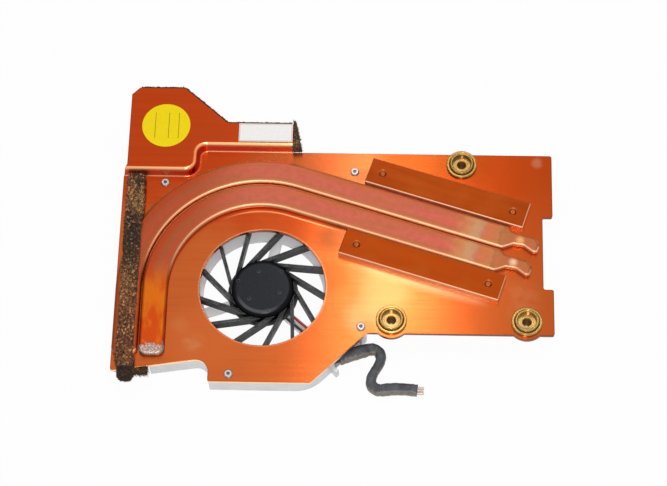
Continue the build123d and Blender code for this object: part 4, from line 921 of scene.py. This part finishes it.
def cable_black():
    """Black satin sleeve of the cable, rubbed grey on its creases, with pale dust and a painted reflection
    on its front-facing side.
    """
    surface = Surface("cable_black")
    fine = surface.noise((1.1, 1.1, 1.1), 4.0)
    rub = surface.noise((0.25, 0.25, 0.25), 3.0)
    colour = surface.mix(surface.span(rub, 0.35, 0.65), (0.028, 0.031, 0.040), (0.075, 0.077, 0.084))
    # pale dust and painted reflection on the side that faces the front
    dust_and_reflection = surface.span(surface.facing((0, -1, 0)), 0.25, 0.65)
    dust_and_reflection = surface.times(dust_and_reflection, surface.span(fine, 0.3, 0.7, 0.5, 1.0))
    colour = surface.mix(dust_and_reflection, colour, (0.26, 0.215, 0.175))
    surface.set(Base_Color=colour, Roughness=surface.span(fine, 0.3, 0.7, 0.38, 0.55))
    surface.bump(fine, 0.08)
    return surface.material


def paint(material, *nodes):
    """Give a material to CAD nodes."""
    for name in nodes:
        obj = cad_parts[name]
        obj.data.materials.clear()
        obj.data.materials.append(material)


def rough_foam(node, worn, loose):
    """Surface of a plain CAD solid, remeshed and roughened, and the places where fibres can stand on it."""
    piece = link(bpy.data.objects.new("plain_foam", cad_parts[node].data.copy()))
    remesh = piece.modifiers.new("grain", "REMESH")
    remesh.mode = "VOXEL"
    remesh.voxel_size = FOAM_VOXEL
    mesh = taken_mesh(piece)
    shape = bmesh.new()
    shape.from_mesh(mesh)
    bpy.data.meshes.remove(mesh)
    shape.normal_update()
    roots = []
    for vertex in shape.verts:
        if loose:
            part = min(1.0, max(0.0, (LOOSE_START - vertex.co.y) / LOOSE_DEPTH))
            vertex.co.x += part * (LOOSE_LEAN - LOOSE_NARROW * (vertex.co.x - LOOSE_MIDDLE))
        if vertex.normal.z > FOAM_UNDERSIDE:
            rough = fractal.noise(vertex.co * FOAM_COARSE)
            rough += FOAM_FINE_SHARE * fractal.noise(vertex.co * FOAM_FINE)
            vertex.co += vertex.normal * MM * (FOAM_SWELL * (rough - FOAM_SINK) - worn)
            roots.append((vertex.co.copy(), vertex.normal.copy()))
            if vertex.co.y < LOOSE_END:
                roots.extend([roots[-1]] * LOOSE_CROWD)
    return shape, roots


def add_fibre(shape, root, normal, reach, chance):
    """One loose fibre: a thin strip with a pointed end, which leans and curls as chance has it."""
    sway = Vector((chance.uniform(-1, 1), chance.uniform(-1, 1), chance.uniform(*FIBRE_RISE)))
    heading = (normal + sway * FIBRE_LEAN).normalized()
    length = chance.uniform(*FIBRE_SHARES) * reach * MM
    side = heading.orthogonal().normalized()
    side.rotate(Matrix.Rotation(chance.uniform(0, 2 * pi), 3, heading))
    side *= chance.uniform(*FIBRE_HALF_WIDTHS) * MM
    middle = root + heading * length * FIBRE_MIDDLE + sway * FIBRE_MIDDLE_CURL * length
    tip = root + heading * length + sway * FIBRE_TIP_CURL * length
    low = [shape.verts.new(root - normal * FIBRE_ROOT * MM + side * turn) for turn in (-1, 1)]
    high = [shape.verts.new(middle + side * turn * FIBRE_TAPER) for turn in (-1, 1)]
    end = shape.verts.new(tip)
    shape.faces.new((low[0], low[1], high[1], high[0]))
    shape.faces.new((high[0], high[1], end))


def make_foam(name, node, material, seed, fibres, reach, worn=0.0, loose=False):
    """Worn foam with loose fibres in place of a plain CAD solid. Reach and wear are in millimetres."""
    shape, roots = rough_foam(node, worn, loose)
    chance = Random(seed)
    for _ in range(fibres):
        root, normal = chance.choice(roots)
        add_fibre(shape, root, normal, reach, chance)
    mesh = bpy.data.meshes.new(name)
    shape.to_mesh(mesh)
    shape.free()
    mesh.materials.append(material)
    piece = link(bpy.data.objects.new(name, mesh))
    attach(piece, "cooler")
    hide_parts(node)


def make_spring(place, material):
    """Spring under a screw sleeve's head, copied from the CAD spring with a mesh of its own; the real spring
    shortens as the sleeve is pressed down, but this copy keeps its shape.
    """
    node = f"{place}_bush_spring"
    piece = link(bpy.data.objects.new(f"{place}_coil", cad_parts[node].data.copy()))
    piece.data.materials.clear()
    piece.data.materials.append(material)
    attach(piece, "cooler")
    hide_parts(node)
    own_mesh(piece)


def ray_mask(tree):
    """Value that is 1 for camera, glossy and transmission rays."""
    path = tree.nodes.new("ShaderNodeLightPath")
    value = path.outputs["Is Camera Ray"]
    for name in ("Is Glossy Ray", "Is Transmission Ray"):
        larger = tree.nodes.new("ShaderNodeMath")
        larger.operation = "MAXIMUM"
        tree.links.new(value, larger.inputs[0])
        tree.links.new(path.outputs[name], larger.inputs[1])
        value = larger.outputs[0]
    return value


def make_floor():
    """White floor that keeps the object's soft shadow."""
    shape = bmesh.new()
    bmesh.ops.create_grid(shape, x_segments=1, y_segments=1, size=FLOOR_HALF)
    floor = finish_mesh(shape, "floor")
    material = bpy.data.materials.new("white_floor")
    material.use_nodes = True
    tree = material.node_tree
    shader = tree.nodes["Principled BSDF"]
    shader.inputs["Base Color"].default_value = (FLOOR_GREY, FLOOR_GREY, FLOOR_GREY, 1)
    shader.inputs["Roughness"].default_value = FLOOR_ROUGHNESS
    glow = tree.nodes.new("ShaderNodeEmission")
    share = tree.nodes.new("ShaderNodeMath")
    share.operation = "MULTIPLY"
    share.inputs[1].default_value = FLOOR_GLOW
    tree.links.new(ray_mask(tree), share.inputs[0])
    blend = tree.nodes.new("ShaderNodeMixShader")
    tree.links.new(share.outputs[0], blend.inputs[0])
    tree.links.new(shader.outputs[0], blend.inputs[1])
    tree.links.new(glow.outputs[0], blend.inputs[2])
    tree.links.new(blend.outputs[0], tree.nodes["Material Output"].inputs["Surface"])
    floor.data.materials.append(material)


def make_world():
    """White surroundings, paler overhead than at the horizon and dimmer as a light than as a background."""
    world = bpy.data.worlds.new("studio")
    world.use_nodes = True
    tree = world.node_tree
    place = tree.nodes.new("ShaderNodeTexCoord")
    axes = tree.nodes.new("ShaderNodeSeparateXYZ")
    tree.links.new(place.outputs["Generated"], axes.inputs[0])
    height = tree.nodes.new("ShaderNodeMapRange")
    for name, value in (("From Max", SKY_FULL), ("To Min", SKY_HORIZON), ("To Max", 1.0)):
        height.inputs[name].default_value = value
    tree.links.new(axes.outputs["Z"], height.inputs["Value"])
    share = tree.nodes.new("ShaderNodeMapRange")
    for name, value in (("To Min", SKY_LIGHT), ("To Max", 1.0)):
        share.inputs[name].default_value = value
    tree.links.new(ray_mask(tree), share.inputs["Value"])
    strength = tree.nodes.new("ShaderNodeMath")
    strength.operation = "MULTIPLY"
    tree.links.new(height.outputs[0], strength.inputs[0])
    tree.links.new(share.outputs[0], strength.inputs[1])
    background = tree.nodes["Background"]
    background.inputs["Color"].default_value = (1, 1, 1, 1)
    tree.links.new(strength.outputs[0], background.inputs["Strength"])
    bpy.context.scene.world = world


def make_lamp(name, place, target, size, power):
    """Soft rectangular lamp that faces a point."""
    data = bpy.data.lights.new(name, "AREA")
    data.shape = "RECTANGLE"
    data.size, data.size_y = size
    data.energy = power
    lamp = link(bpy.data.objects.new(name, data))
    heading = Vector(target) - Vector(place)
    lamp.matrix_world = Matrix.Translation(place) @ heading.to_track_quat("-Z", "Y").to_matrix().to_4x4()


make_camera()
cable = make_cable()

brass = {place: turned_brass(f"{place}_brass", *details) for place, details in BUSH_PLACES.items()}
spring_steel = plain_metal("spring_steel", (0.34, 0.34, 0.35), (0.52, 0.52, 0.53), 0.28)
for place, material in brass.items():
    paint(material, f"{place}_bush_collar", f"{place}_bush_sleeve")
    paint(spring_steel, f"{place}_bush_clip")
    make_spring(place, spring_steel)
paint(cover_copper(), "cover_plate")
paint(pipe_copper(), "inner_heat_pipe", "outer_heat_pipe")
paint(bar_copper(), "upper_bar", "lower_bar")
paint(plain_metal("block_copper", (0.44, 0.10, 0.030), (0.60, 0.17, 0.055)), "contact_block")
paint(plain_metal("pin_copper", (0.22, 0.052, 0.014), (0.34, 0.100, 0.030), 0.4), "bar_pins")
paint(plain_metal("fin_copper", (0.36, 0.080, 0.025), (0.55, 0.150, 0.050)), "left_fins", "duct_fins")
paint(housing_alloy(), "fan_housing")
paint(rivet_alloy(), "housing_rivets")
paint(fan_plastic(), "impeller")
motor_steel = plain_metal("motor_steel", (0.30, 0.30, 0.31), (0.46, 0.46, 0.47))
paint(motor_steel, "rotor_yoke", "stator_core", "rotor_shaft")
paint(plain_metal("bearing_bronze", (0.40, 0.24, 0.09), (0.56, 0.36, 0.14)), "bearing_sleeve")
paint(plain_metal("coil_copper", (0.40, 0.10, 0.025), (0.62, 0.21, 0.060)), "stator_coils")
paint(plain_plastic("magnet", (0.030, 0.028, 0.026), (0.060, 0.055, 0.050), 0.6), "rotor_magnet")
paint(plain_plastic("board_lacquer", (0.016, 0.075, 0.035), (0.030, 0.120, 0.055), 0.35), "motor_board")
paint(yellow_paper(), "round_label")
paint(white_paper(), "white_label")
paint(plain_plastic("red_lead", (0.42, 0.020, 0.022), (0.58, 0.045, 0.045), 0.35), "red_lead")
paint(plain_plastic("white_lead", (0.62, 0.60, 0.57), (0.78, 0.76, 0.73), 0.35), "white_lead")
paint(plain_plastic("black_lead", (0.016, 0.016, 0.017), (0.034, 0.034, 0.036), 0.35), "black_lead")
stripped = plain_metal("stripped_lead", (0.46, 0.36, 0.30), (0.66, 0.54, 0.46), 0.5)
paint(stripped, "red_lead_end", "white_lead_end", "black_lead_end")
cable.data.materials.append(cable_black())

worn_foam = foam_fibre()
crumbling_foam = dark_fibre()
make_foam("worn_left_seal", "left_foam_strip", worn_foam, seed=11, fibres=9000, reach=0.7, loose=True)
make_foam("worn_end_seal", "duct_end_foam", crumbling_foam, seed=12, fibres=350, reach=0.6)
make_foam("worn_rear_seal", "duct_rear_foam", crumbling_foam, seed=13, fibres=1100, reach=0.45, worn=0.42)
make_foam("worn_corner_seal", "corner_foam", crumbling_foam, seed=14, fibres=900, reach=1.3)

make_floor()
make_world()
for name, details in LAMPS.items():
    make_lamp(name, *details)
bpy.context.scene.view_settings.view_transform = "Standard"
